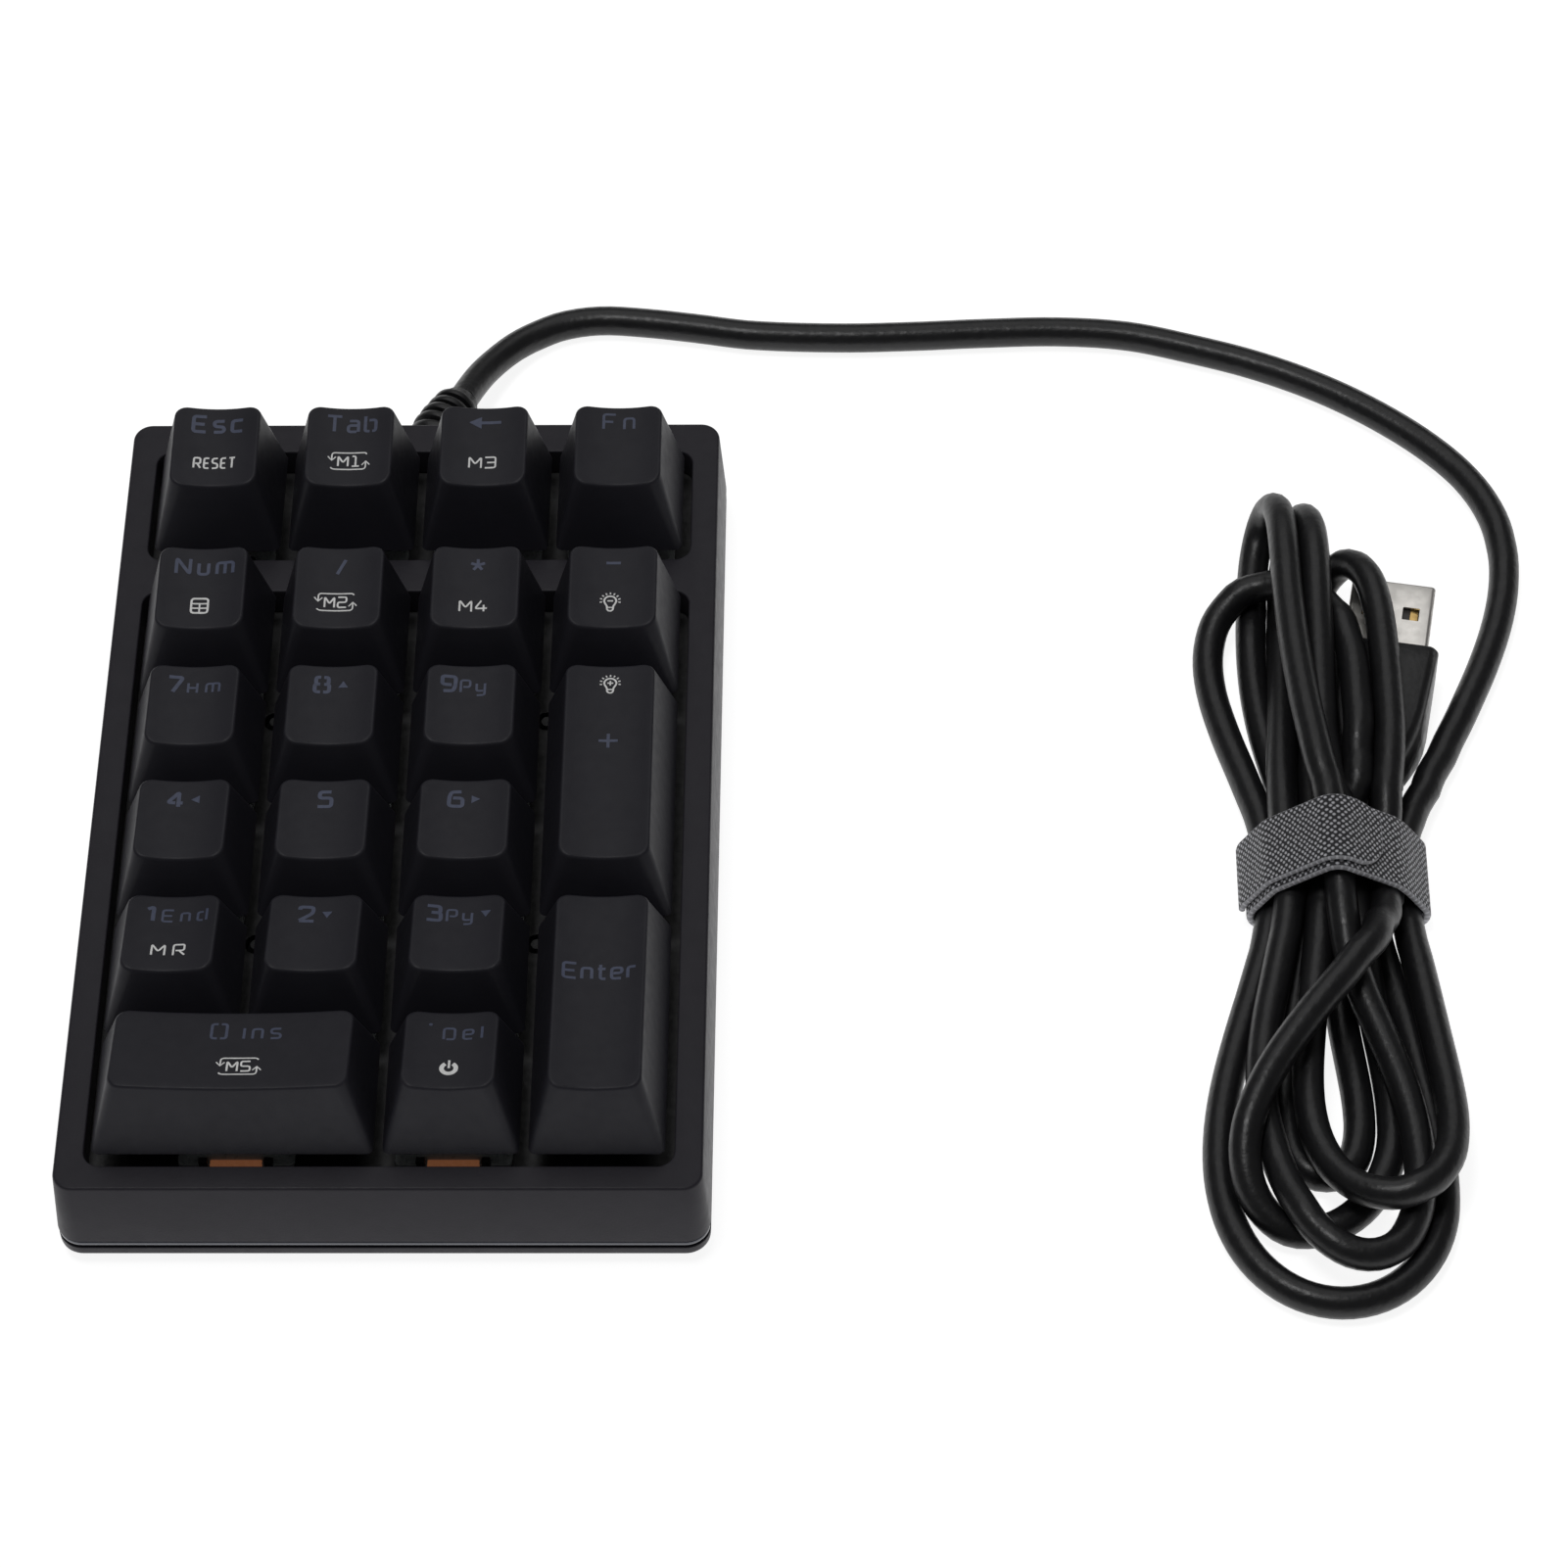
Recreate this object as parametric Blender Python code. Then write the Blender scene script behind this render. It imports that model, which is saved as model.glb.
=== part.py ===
"""Numeric keypad: 21 sprung keys on a steel plate, in a two-part case whose lead is tied in a hank.

Sizes are in millimetres and are turned into metres when a mesh is made. The origin is on the
surface that the keypad stands on, under the middle of the case. +Y is the far side, +Z is up.
"""
from math import cos, pi, radians, sin, tan

import bmesh
import bpy
from mathutils import Matrix, Vector
from mathutils.geometry import interpolate_bezier

MM = 0.001
GAP = 0.3                      # clearance between pieces that touch on the real keypad

# Keys
PITCH = 19.05                  # spacing of standard key switches
FIRST_ROW_Y = -51.85
TOP_ROW_GAP = 6.7              # extra room in front of the separate top row
KEY_CLEARANCE = 1.0            # a keycap is this much smaller than its cell
TOP_INSET_X = 2.95             # each side of a keycap leans in this much
TOP_INSET_Y = 2.05
TOP_SHIFT_Y = 1.75             # the top stands further back than the base
DISH_DEPTH = 0.9
CAP_WALL = 1.3
CAP_ROOF = 1.5
TRAVEL = 4.0
POST_RADIUS = 2.8
STABILISER_OFFSET = 11.9       # outer posts of a two-cell key

# Heights above the surface that the keypad stands on
FOOT_TOP = 1.0
BASE_BOTTOM = 1.3
BASE_FLOOR = 2.9
BASE_TOP = 3.65
STRIP_BOTTOM = 4.05
STRIP_TOP = 4.8
COVER_BOTTOM = 5.1
BOARD_BOTTOM = 5.2
BOARD_TOP = 6.75
PLATE_BOTTOM = 10.5
PLATE_TOP = 12.0
RIM_BOTTOM = 12.3
COVER_TOP = 16.8
SKIRT = 17.4                   # lower edge of the keycaps at rest
SWITCH_TOP = 18.6
POST_BOTTOM = 19.1

# Case outline
CASE_X = 43.2                  # half width at the base
CASE_Y = 66.4
DRAFT = 0.75                   # the top edge is this much further in
CASE_CORNER = 3.4
CASE_WALL = 2.1
WINDOW_X = 38.65
MAIN_WINDOW_Y = (-62.0, 34.45)
TOP_WINDOW_Y = (40.25, 60.35)
WINDOW_CORNER = 2.3
SCREW_PLACES = ((-19.05, 14.825), (19.05, 14.825), (-19.05, -23.275), (19.05, -23.275))

# Lead
CORD_DIAMETER = 4.4
BOOT_X = 0.0
BOOT_Z = 8.6
BOOT_PATH = ((0.0, 66.95, 8.6), (0.2, 69.2, 8.55), (1.1, 72.2, 8.3), (2.4, 75.4, 7.7), (3.75, 78.7, 6.75))
CORD_PATH = (
    (3.84, 78.98, 6.67), (4.9, 82.4, 5.6), (6.4, 86.1, 4.6), (8.6, 89.9, 3.6), (11.1, 93.1, 2.9),
    (14.0, 95.6, 2.4), (18.0, 97.7, 2.3), (23.6, 98.7, 2.3), (30.5, 98.2, 2.3), (38.0, 97.1, 2.3),
    (46.5, 95.7, 2.3), (59.9, 95.1, 2.3), (71.3, 95.4, 2.3), (80.7, 95.9, 2.3), (92.3, 96.2, 2.3),
    (102.8, 95.3, 2.3), (112.3, 92.7, 2.3), (121.8, 89.4, 2.3), (131.1, 84.9, 2.3), (139.3, 79.5, 2.3),
    (146.6, 73.2, 2.3), (152.0, 66.6, 2.3), (155.2, 59.4, 2.3), (156.1, 52.0, 2.3), (155.6, 44.7, 2.3),
    (153.8, 38.0, 2.3), (151.3, 31.5, 2.3), (148.6, 25.8, 2.3), (146.1, 20.4, 2.3), (143.4, 15.2, 2.3),
    (140.1, 9.2, 2.3),
)
HANK_BOTTOM = 1.9
HANK_TOP = 13.9
HANK_WAIST_Y = (-13.4, -0.8)
HANK_RIGHT = (
    (138.6, -0.6), (140.6, 7.7), (137.4, 9.5), (137.4, 12.4), (131.6, 13.5), (129.0, 18.5), (127.9, 24.0),
    (129.7, 34.4), (131.4, 35.0), (133.2, 45.6),
)
HANK_TOP_LOOPS = ((130.9, 51.5), (127.5, 56.4), (122.6, 57.3), (118.0, 53.0), (113.4, 46.0), (109.7, 36.0))
HANK_LEFT = ((109.5, 28.0), (112.5, 14.0), (117.3, -0.6), (117.3, -13.6), (112.0, -26.0))
HANK_LOW_LOOPS = (
    (108.2, -40.0), (107.3, -54.0), (109.6, -65.0), (115.5, -73.0), (123.5, -77.0), (132.5, -75.5),
    (139.0, -69.0), (143.0, -59.0), (142.2, -47.0), (140.0, -30.0), (138.6, -13.6),
)
PLUG_TIP = (139.6, 44.1)
PLUG_TILT = radians(-9.5)
PLUG_Z = 4.3


# ---------------------------------------------------------------- helpers

def material(name, colour, roughness, metallic=0.0, alpha=1.0):
    """A named Principled material."""
    made = bpy.data.materials.new(name)
    made.use_nodes = True
    shader = made.node_tree.nodes["Principled BSDF"]
    shader.inputs["Base Color"].default_value = (*colour, 1.0)
    shader.inputs["Roughness"].default_value = roughness
    shader.inputs["Metallic"].default_value = metallic
    shader.inputs["Alpha"].default_value = alpha
    return made


def rounded_rectangle(low, high, radius, steps=3):
    """Corner arcs of a rectangle from low to high, anticlockwise, as (x, y) points."""
    points = []
    corners = ((high[0], high[1], 0), (low[0], high[1], 90), (low[0], low[1], 180), (high[0], low[1], 270))
    for x, y, start in corners:
        centre_x = x - radius if x == high[0] else x + radius
        centre_y = y - radius if y == high[1] else y + radius
        for step in range(steps + 1):
            angle = radians(start + 90 * step / steps)
            points.append((centre_x + radius * cos(angle), centre_y + radius * sin(angle)))
    return points


def circle(x, y, radius, sides=16):
    return [(x + radius * cos(2 * pi * i / sides), y + radius * sin(2 * pi * i / sides)) for i in range(sides)]


def at_height(points, z):
    return [(x, y, z) for x, y in points]


def stacked(rings, capped=True):
    """A mesh through rings of equally many (x, y, z) points, listed from the bottom up."""
    bm = bmesh.new()
    made = [[bm.verts.new(Vector(point) * MM) for point in ring] for ring in rings]
    for lower, upper in zip(made, made[1:]):
        count = len(lower)
        for i in range(count):
            j = (i + 1) % count
            bm.faces.new((lower[i], lower[j], upper[j], upper[i]))
    if capped:
        bm.faces.new(list(reversed(made[0])))
        bm.faces.new(made[-1])
    return bm


def placed(name, bm, finish, location=(0, 0, 0), turn=0.0, smooth=True):
    """An object from a bmesh, with its origin at location (millimetres)."""
    bmesh.ops.recalc_face_normals(bm, faces=bm.faces)
    mesh = bpy.data.meshes.new(name)
    bm.to_mesh(mesh)
    bm.free()
    if smooth:
        mesh.shade_smooth()
        mesh.set_sharp_from_angle(angle=radians(35))
    return linked(name, mesh, finish, location, turn)


def linked(name, mesh, finish, location, turn=0.0):
    if finish and not mesh.materials:
        mesh.materials.append(finish)
    obj = bpy.data.objects.new(name, mesh)
    obj.location = Vector(location) * MM
    obj.rotation_euler.z = turn
    bpy.context.scene.collection.objects.link(obj)
    return obj


def cutter(name, bm, location=(0, 0, 0)):
    obj = placed(name, bm, None, location, smooth=False)
    obj.hide_render = True
    obj.display_type = "WIRE"
    return obj


def boolean(obj, other, operation="DIFFERENCE"):
    modifier = obj.modifiers.new(f"{operation.lower()} {other.name}", "BOOLEAN")
    modifier.operation = operation
    modifier.solver = "EXACT"
    modifier.object = other


def slab(outline, low, high):
    return stacked([at_height(outline, low), at_height(outline, high)])


def case_outline(inset=0.0):
    """The case's outline, inset evenly from its widest line."""
    corner = max(CASE_CORNER - inset, 1.0)
    return rounded_rectangle((inset - CASE_X, inset - CASE_Y), (CASE_X - inset, CASE_Y - inset), corner, 4)


# ---------------------------------------------------------------- keys

# Each row from the front: centre, height of the top above the skirt, and how far the top leans
# away from the user, in degrees.
ROWS = (
    (FIRST_ROW_Y, 9.55, 12.0),
    (FIRST_ROW_Y + PITCH, 9.05, 10.3),
    (FIRST_ROW_Y + 2 * PITCH, 8.75, 4.5),
    (FIRST_ROW_Y + 3 * PITCH, 9.35, 1.7),
    (FIRST_ROW_Y + 4 * PITCH, 11.3, -2.3),
    (FIRST_ROW_Y + 5 * PITCH + TOP_ROW_GAP, 11.35, -3.0),
)

# Name, column, row, cells wide, cells deep. A key that is two cells deep starts in the given row.
KEYS = (
    ("esc", 0, 5, 1, 1), ("tab", 1, 5, 1, 1), ("backspace", 2, 5, 1, 1), ("fn", 3, 5, 1, 1),
    ("num_lock", 0, 4, 1, 1), ("divide", 1, 4, 1, 1), ("multiply", 2, 4, 1, 1), ("minus", 3, 4, 1, 1),
    ("7", 0, 3, 1, 1), ("8", 1, 3, 1, 1), ("9", 2, 3, 1, 1), ("plus", 3, 2, 1, 2),
    ("4", 0, 2, 1, 1), ("5", 1, 2, 1, 1), ("6", 2, 2, 1, 1),
    ("1", 0, 1, 1, 1), ("2", 1, 1, 1, 1), ("3", 2, 1, 1, 1), ("enter", 3, 0, 1, 2),
    ("0", 0, 0, 2, 1), ("decimal", 2, 0, 1, 1),
)
TALL_TOPS = {"plus": (9.2, 0.6), "enter": (9.35, 5.5)}


def key_place(column, row, wide, deep):
    """The centre of a key's cell or pair of cells."""
    x = (column - 1.5 + (wide - 1) / 2) * PITCH
    return x, ROWS[row][0] + (deep - 1) / 2 * PITCH


def cap_outline(half_x, half_y, shift, radius):
    """A keycap's outline whose long edges are split, so that the dish can curve between them."""
    corner = rounded_rectangle((-half_x, shift - half_y), (half_x, shift + half_y), radius, 2)
    split = [corner[0:3], corner[3:6], corner[6:9], corner[9:12]]
    fractions = (-0.5, 0.0, 0.5)
    back = [(-half_x * f, shift + half_y) for f in fractions]
    front = [(half_x * f, shift - half_y) for f in fractions]
    return split[0] + back + split[1] + split[2] + front + split[3]


def cap_top(outline, half_x, height, lean, shift):
    """Lifts the top outline to its sloping height, dished across its width."""
    lifted = []
    for x, y in outline:
        dish = DISH_DEPTH * (1 - min(1.0, abs(x) / half_x) ** 2)
        lifted.append((x, y, height - (y - shift) * tan(radians(lean)) - dish))
    return lifted


def keycap_mesh(wide, deep, height, lean):
    """A hollow keycap. Its origin is in the middle of its lower edge, on its switch's axis."""
    base_x = (wide * PITCH - KEY_CLEARANCE) / 2
    base_y = (deep * PITCH - KEY_CLEARANCE) / 2
    top_x, top_y = base_x - TOP_INSET_X, base_y - TOP_INSET_Y
    base = cap_outline(base_x, base_y, 0, 0.8)
    top = cap_outline(top_x, top_y, TOP_SHIFT_Y, 1.6)
    lowest = height - DISH_DEPTH - top_y * abs(tan(radians(lean)))
    roof = lowest - CAP_ROOF
    share = roof / height
    inner_base = cap_outline(base_x - CAP_WALL, base_y - CAP_WALL, 0, 0.5)
    inner_top = cap_outline(
        base_x - TOP_INSET_X * share - CAP_WALL,
        base_y - TOP_INSET_Y * share - CAP_WALL,
        TOP_SHIFT_Y * share,
        0.9,
    )
    bm = stacked(
        [
            at_height(inner_top, roof),
            at_height(inner_base, 0),
            at_height(base, 0),
            cap_top(top, top_x, height, lean, TOP_SHIFT_Y),
        ],
        capped=False,
    )
    bm.verts.ensure_lookup_table()
    count = len(base)
    roofed = list(bm.verts)[:count]
    crowned = list(bm.verts)[3 * count:]
    bm.faces.new(roofed)
    # The outline runs from the right side round the back to the left, then back along the front.
    half = count // 2
    for i in range(half - 1):
        bm.faces.new((crowned[i], crowned[i + 1], crowned[count - 2 - i], crowned[count - 1 - i]))
    return bm, roof


def key_posts(wide, deep, roof):
    """Posts under a keycap: one for the switch, and two for the stabiliser of a two-cell key."""
    places = [(0, 0)]
    if wide == 2:
        places += [(-STABILISER_OFFSET, 0), (STABILISER_OFFSET, 0)]
    if deep == 2:
        places += [(0, -STABILISER_OFFSET), (0, STABILISER_OFFSET)]
    bm = bmesh.new()
    for x, y in places:
        post = slab(circle(x, y, POST_RADIUS, 10), POST_BOTTOM - SKIRT, roof + CAP_ROOF / 2)
        mesh = bpy.data.meshes.new("post")
        post.to_mesh(mesh)
        post.free()
        bm.from_mesh(mesh)
        bpy.data.meshes.remove(mesh)
    return bm


def make_keys(finish, holder):
    made = {}
    for name, column, row, wide, deep in KEYS:
        height, lean = TALL_TOPS.get(name, ROWS[row][1:])
        x, y = key_place(column, row, wide, deep)
        shape = (wide, deep, height, lean)
        if shape not in made:
            bm, roof = keycap_mesh(*shape)
            cap = placed(f"keycap_{name}", bm, finish, (x, y, SKIRT))
            posts = cutter(f"posts_{name}", key_posts(wide, deep, roof), (x, y, SKIRT))
            boolean(cap, posts, "UNION")
            made[shape] = (cap.data, posts)
        else:
            mesh, posts = made[shape]
            cap = linked(f"keycap_{name}", mesh, finish, (x, y, SKIRT))
            own_posts = linked(f"posts_{name}", posts.data, None, (x, y, SKIRT))
            own_posts.hide_render = True
            own_posts.display_type = "WIRE"
            boolean(cap, own_posts, "UNION")
        cap.parent = holder


def switch_mesh():
    """A switch's housing: body under the plate, flange on it, tapered top, and the stem's well."""
    levels = (
        (6.95, BOARD_TOP + GAP), (6.95, PLATE_TOP + GAP), (7.7, PLATE_TOP + GAP), (7.7, PLATE_TOP + 1.2),
        (7.0, PLATE_TOP + 1.2), (4.9, SWITCH_TOP), (3.4, SWITCH_TOP), (3.4, PLATE_TOP - 3.0),
    )
    corners = ((1, 1), (-1, 1), (-1, -1), (1, -1))
    return stacked([[(half * x, half * y, z) for x, y in corners] for half, z in levels])


def make_switches(finish, holder):
    mesh = None
    for name, column, row, wide, deep in KEYS:
        x, y = key_place(column, row, wide, deep)
        if mesh is None:
            switch = placed(f"switch_{name}", switch_mesh(), finish, (x, y, 0))
            mesh = switch.data
        else:
            switch = linked(f"switch_{name}", mesh, finish, (x, y, 0))
        switch.parent = holder


# ---------------------------------------------------------------- inside the case

def switch_holes():
    """One cutter with a square hole for each switch."""
    bm = bmesh.new()
    half = 7.25
    for name, column, row, wide, deep in KEYS:
        x, y = key_place(column, row, wide, deep)
        cube = bmesh.ops.create_cube(bm, size=2 * half * MM)
        bmesh.ops.translate(bm, verts=cube["verts"], vec=Vector((x, y, PLATE_BOTTOM)) * MM)
    return bm


def screw_holes(radius, low, high):
    bm = bmesh.new()
    for x, y in SCREW_PLACES:
        made = bmesh.ops.create_cone(
            bm, cap_ends=True, segments=16, radius1=radius * MM, radius2=radius * MM, depth=(high - low) * MM
        )
        bmesh.ops.translate(bm, verts=made["verts"], vec=Vector((x, y, (low + high) / 2)) * MM)
    return bm


def boot_notch():
    """Room for the strain relief's flange at the back edge of the board and the plate."""
    return slab(rounded_rectangle((BOOT_X - 6, 60.6), (BOOT_X + 6, 70.0), 0.6, 2), 4.0, 13.0)


def make_plate(finish, holder):
    outline = rounded_rectangle((-39.9, -63.0), (39.9, 63.0), 1.5)
    plate = placed("switch_plate", slab(outline, PLATE_BOTTOM, PLATE_TOP), finish)
    boolean(plate, cutter("switch_holes", switch_holes()))
    boolean(plate, cutter("plate_screw_holes", screw_holes(1.6, 9.0, 13.0)))
    boolean(plate, cutter("plate_notch", boot_notch()))
    plate.parent = holder


def make_board(finish, holder):
    outline = rounded_rectangle((-39.5, -62.5), (39.5, 62.5), 1.5)
    board = placed("circuit_board", slab(outline, BOARD_BOTTOM, BOARD_TOP), finish)
    boolean(board, cutter("board_boss_holes", screw_holes(3.1, 4.0, 8.0)))
    boolean(board, cutter("board_notch", boot_notch()))
    board.parent = holder


# ---------------------------------------------------------------- case

def make_cover(finish, holder):
    """Top case: outer walls, a thick frame round the two windows, and the bar between them."""
    rings = [
        at_height(case_outline(0.0), COVER_BOTTOM),
        at_height(case_outline(DRAFT - 0.35), COVER_TOP - 0.5),
        at_height(case_outline(DRAFT), COVER_TOP - 0.12),
        at_height(case_outline(DRAFT + 0.35), COVER_TOP),
    ]
    cover = placed("top_case", stacked(rings), finish)
    hollow = stacked([
        at_height(case_outline(CASE_WALL), COVER_BOTTOM - 1.0),
        at_height(case_outline(CASE_WALL + DRAFT), RIM_BOTTOM),
    ])
    boolean(cover, cutter("cover_hollow", hollow))
    for name, (front, back) in (("main_window", MAIN_WINDOW_Y), ("top_window", TOP_WINDOW_Y)):
        outline = rounded_rectangle((-WINDOW_X, front), (WINDOW_X, back), WINDOW_CORNER, 4)
        boolean(cover, cutter(name, slab(outline, RIM_BOTTOM - 1.0, COVER_TOP + 1.0)))
    outlet = bmesh.new()
    bmesh.ops.create_cone(
        outlet, cap_ends=True, segments=12, radius1=3.3 * MM, radius2=3.3 * MM, depth=8 * MM,
        matrix=Matrix.Translation(Vector((BOOT_X, CASE_Y, BOOT_Z)) * MM) @ Matrix.Rotation(pi / 2, 4, "X"),
    )
    boolean(cover, cutter("cord_outlet", outlet))
    cover.parent = holder


def make_base(finish, holder):
    """Bottom case: a tray whose bosses carry the plate and take the screws."""
    rings = [
        at_height(case_outline(1.1), BASE_BOTTOM),
        at_height(case_outline(0.35), BASE_BOTTOM + 0.35),
        at_height(case_outline(0.05), BASE_BOTTOM + 1.1),
        at_height(case_outline(0.05), BASE_TOP),
        at_height(case_outline(2.4), BASE_TOP),
        at_height(case_outline(2.4), BASE_FLOOR),
    ]
    base = placed("bottom_case", stacked(rings), finish)
    boolean(base, cutter("base_bosses", screw_holes(2.7, BASE_FLOOR - 0.5, PLATE_BOTTOM - GAP)), "UNION")
    boolean(base, cutter("base_boss_roots", screw_holes(4.4, BASE_FLOOR - 0.6, BASE_FLOOR + 1.8)), "UNION")
    boolean(base, cutter("base_screw_bores", screw_holes(1.6, 0.0, 12.0)))
    boolean(base, cutter("base_head_recesses", screw_holes(2.9, 0.0, BASE_FLOOR + 0.3)))
    base.parent = holder


def make_light_strip(finish, holder):
    rings = [
        at_height(case_outline(0.1), STRIP_BOTTOM),
        at_height(case_outline(0.1), STRIP_TOP),
        at_height(case_outline(4.6), STRIP_TOP),
        at_height(case_outline(4.6), STRIP_BOTTOM),
        at_height(case_outline(0.1), STRIP_BOTTOM),
    ]
    bm = stacked(rings, capped=False)
    bmesh.ops.remove_doubles(bm, verts=bm.verts, dist=0.001 * MM)
    placed("light_strip", bm, finish).parent = holder


def make_screws(finish, holder):
    sides = 12
    levels = ((1.3, 1.7), (2.4, 1.9), (2.4, 2.9), (1.25, 2.9), (1.25, 11.6), (0.8, PLATE_TOP))
    for number, (x, y) in enumerate(SCREW_PLACES, 1):
        rings = [at_height(circle(0, 0, radius, sides), z) for radius, z in levels]
        placed(f"case_screw_{number}", stacked(rings), finish, (x, y, 0)).parent = holder


def make_feet(finish, holder):
    for name, y in (("rear_foot", 55.0), ("front_foot", -55.0)):
        outline = rounded_rectangle((-34.0, -3.0), (34.0, 3.0), 3.0, 4)
        rings = [
            [(x * 0.985, y2 * 0.9, 0.0) for x, y2 in outline],
            at_height(outline, 0.3),
            at_height(outline, FOOT_TOP),
        ]
        placed(name, stacked(rings), finish, (0, y, 0)).parent = holder


# ---------------------------------------------------------------- lead

def smooth_route(points, count):
    """Evenly spaced points on a smooth curve through the given ones."""
    spots = [Vector(point) for point in points]
    fine = []
    for i in range(len(spots) - 1):
        before = spots[max(i - 1, 0)]
        after = spots[min(i + 2, len(spots) - 1)]
        out = (spots[i + 1] - before) / 6
        back = (after - spots[i]) / 6
        fine += interpolate_bezier(spots[i], spots[i] + out, spots[i + 1] - back, spots[i + 1], 12)[:-1]
    fine.append(spots[-1])
    lengths = [0.0]
    for a, b in zip(fine, fine[1:]):
        lengths.append(lengths[-1] + (b - a).length)
    even, k = [], 0
    for i in range(count):
        wanted = lengths[-1] * i / (count - 1)
        while k < len(fine) - 2 and lengths[k + 1] < wanted:
            k += 1
        share = (wanted - lengths[k]) / (lengths[k + 1] - lengths[k])
        even.append(fine[k].lerp(fine[k + 1], share))
    return even


def make_cord(finish):
    route = smooth_route(CORD_PATH, 34)
    curve = bpy.data.curves.new("usb_cable", "CURVE")
    curve.dimensions = "3D"
    curve.bevel_depth = CORD_DIAMETER / 2 * MM
    curve.bevel_resolution = 2
    curve.use_fill_caps = True
    spline = curve.splines.new("POLY")
    spline.points.add(len(route) - 1)
    for point, spot in zip(spline.points, route):
        point.co = (*(spot * MM), 1.0)
    curve.materials.append(finish)
    cord = bpy.data.objects.new("usb_cable", curve)
    bpy.context.scene.collection.objects.link(cord)


def rings_along(path, radii, sides=12):
    """Rings round a bent path, each square to the path there."""
    spots = [Vector(point) for point in path]
    rings = []
    for i, spot in enumerate(spots):
        along = (spots[min(i + 1, len(spots) - 1)] - spots[max(i - 1, 0)]).normalized()
        side = along.cross(Vector((0, 0, 1))).normalized()
        up = side.cross(along)
        turn = [(cos(2 * pi * k / sides), sin(2 * pi * k / sides)) for k in range(sides)]
        rings.append([spot + (side * c + up * s) * radii[i] for c, s in turn])
    return rings


def make_strain_relief(finish):
    """The bent boot behind the case, its neck through the wall, and its flange inside."""
    inner = ((BOOT_X, 61.2, BOOT_Z), (BOOT_X, 61.21, BOOT_Z), (BOOT_X, 62.9, BOOT_Z), (BOOT_X, 62.91, BOOT_Z))
    shoulder = ((BOOT_X, 66.94, BOOT_Z),)
    route = smooth_route(BOOT_PATH, 6)
    outer = [tuple(spot) for spot in route]
    radii = [1.2, 3.2, 3.2, 2.95, 2.95] + [4.0, 3.85, 3.65, 3.45, 3.2, 2.9]
    rings = rings_along((*inner, *shoulder, *outer), radii)
    placed("strain_relief", stacked(rings), finish)


def hank_outline():
    return [*HANK_RIGHT, *HANK_TOP_LOOPS, *HANK_LEFT, *HANK_LOW_LOOPS]


def make_hank(finish):
    """The outer shape of the folded lead. Its waist is lifted off the surface for the tie."""
    hank = placed("cable_hank", slab(hank_outline(), 0.1, HANK_TOP), finish, smooth=False)
    front, back = HANK_WAIST_Y
    under = slab([(100, front), (160, front), (160, back), (100, back)], -2.0, HANK_BOTTOM)
    boolean(hank, cutter("hank_waist", under))


def make_tie(finish):
    """A hook-and-loop strap round the waist of the hank."""
    front, back = HANK_WAIST_Y
    rings = []
    for inset, y in ((0, front + 0.3), (0, back - 0.3), (1.3, back - 0.3), (1.3, front + 0.3), (0, front + 0.3)):
        low = (115.7 + inset, 0.3 + inset)
        high = (140.2 - inset, 15.5 - inset)
        section = rounded_rectangle(low, high, 0.4 if inset else 3.6, 3)
        rings.append([(x, y, z) for x, z in section])
    bm = stacked(rings, capped=False)
    bmesh.ops.remove_doubles(bm, verts=bm.verts, dist=0.001 * MM)
    placed("cable_tie", bm, finish)


def plug_section(half_x, half_z, y, radius, steps=2):
    """A rounded section of the plug, in the plug's own frame: its tip at the origin, its tail at -Y."""
    corners = rounded_rectangle((-half_x, -half_z), (half_x, half_z), radius, steps)
    return [(x, y, z) for x, z in corners]


def make_plug(shell_finish, grip_finish, insert_finish):
    place = (*PLUG_TIP, PLUG_Z)
    shell = [
        plug_section(6.0, 2.25, -11.8, 0.6), plug_section(6.0, 2.25, 0.0, 0.6),
        plug_section(5.65, 1.9, 0.0, 0.4), plug_section(5.65, 1.9, -11.4, 0.4),
    ]
    placed("plug_shell", stacked(shell), shell_finish, place, PLUG_TILT)
    insert = [plug_section(5.3, 0.85, -10.2, 0.2), plug_section(5.3, 0.85, -0.5, 0.2)]
    bm = stacked(insert)
    bmesh.ops.translate(bm, verts=bm.verts, vec=(0, 0, 0.7 * MM))
    placed("plug_insert", bm, insert_finish, place, PLUG_TILT)
    grip = [
        plug_section(2.7, 2.5, -30.6, 1.0), plug_section(4.0, 3.4, -28.0, 1.0), plug_section(5.7, 3.9, -25.5, 1.0),
        plug_section(7.5, 4.1, -21.6, 1.0), plug_section(7.6, 4.1, -12.5, 1.0), plug_section(7.2, 3.8, -12.1, 0.8),
    ]
    placed("plug_grip", stacked(grip), grip_finish, place, PLUG_TILT)


# ---------------------------------------------------------------- assembly

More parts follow.
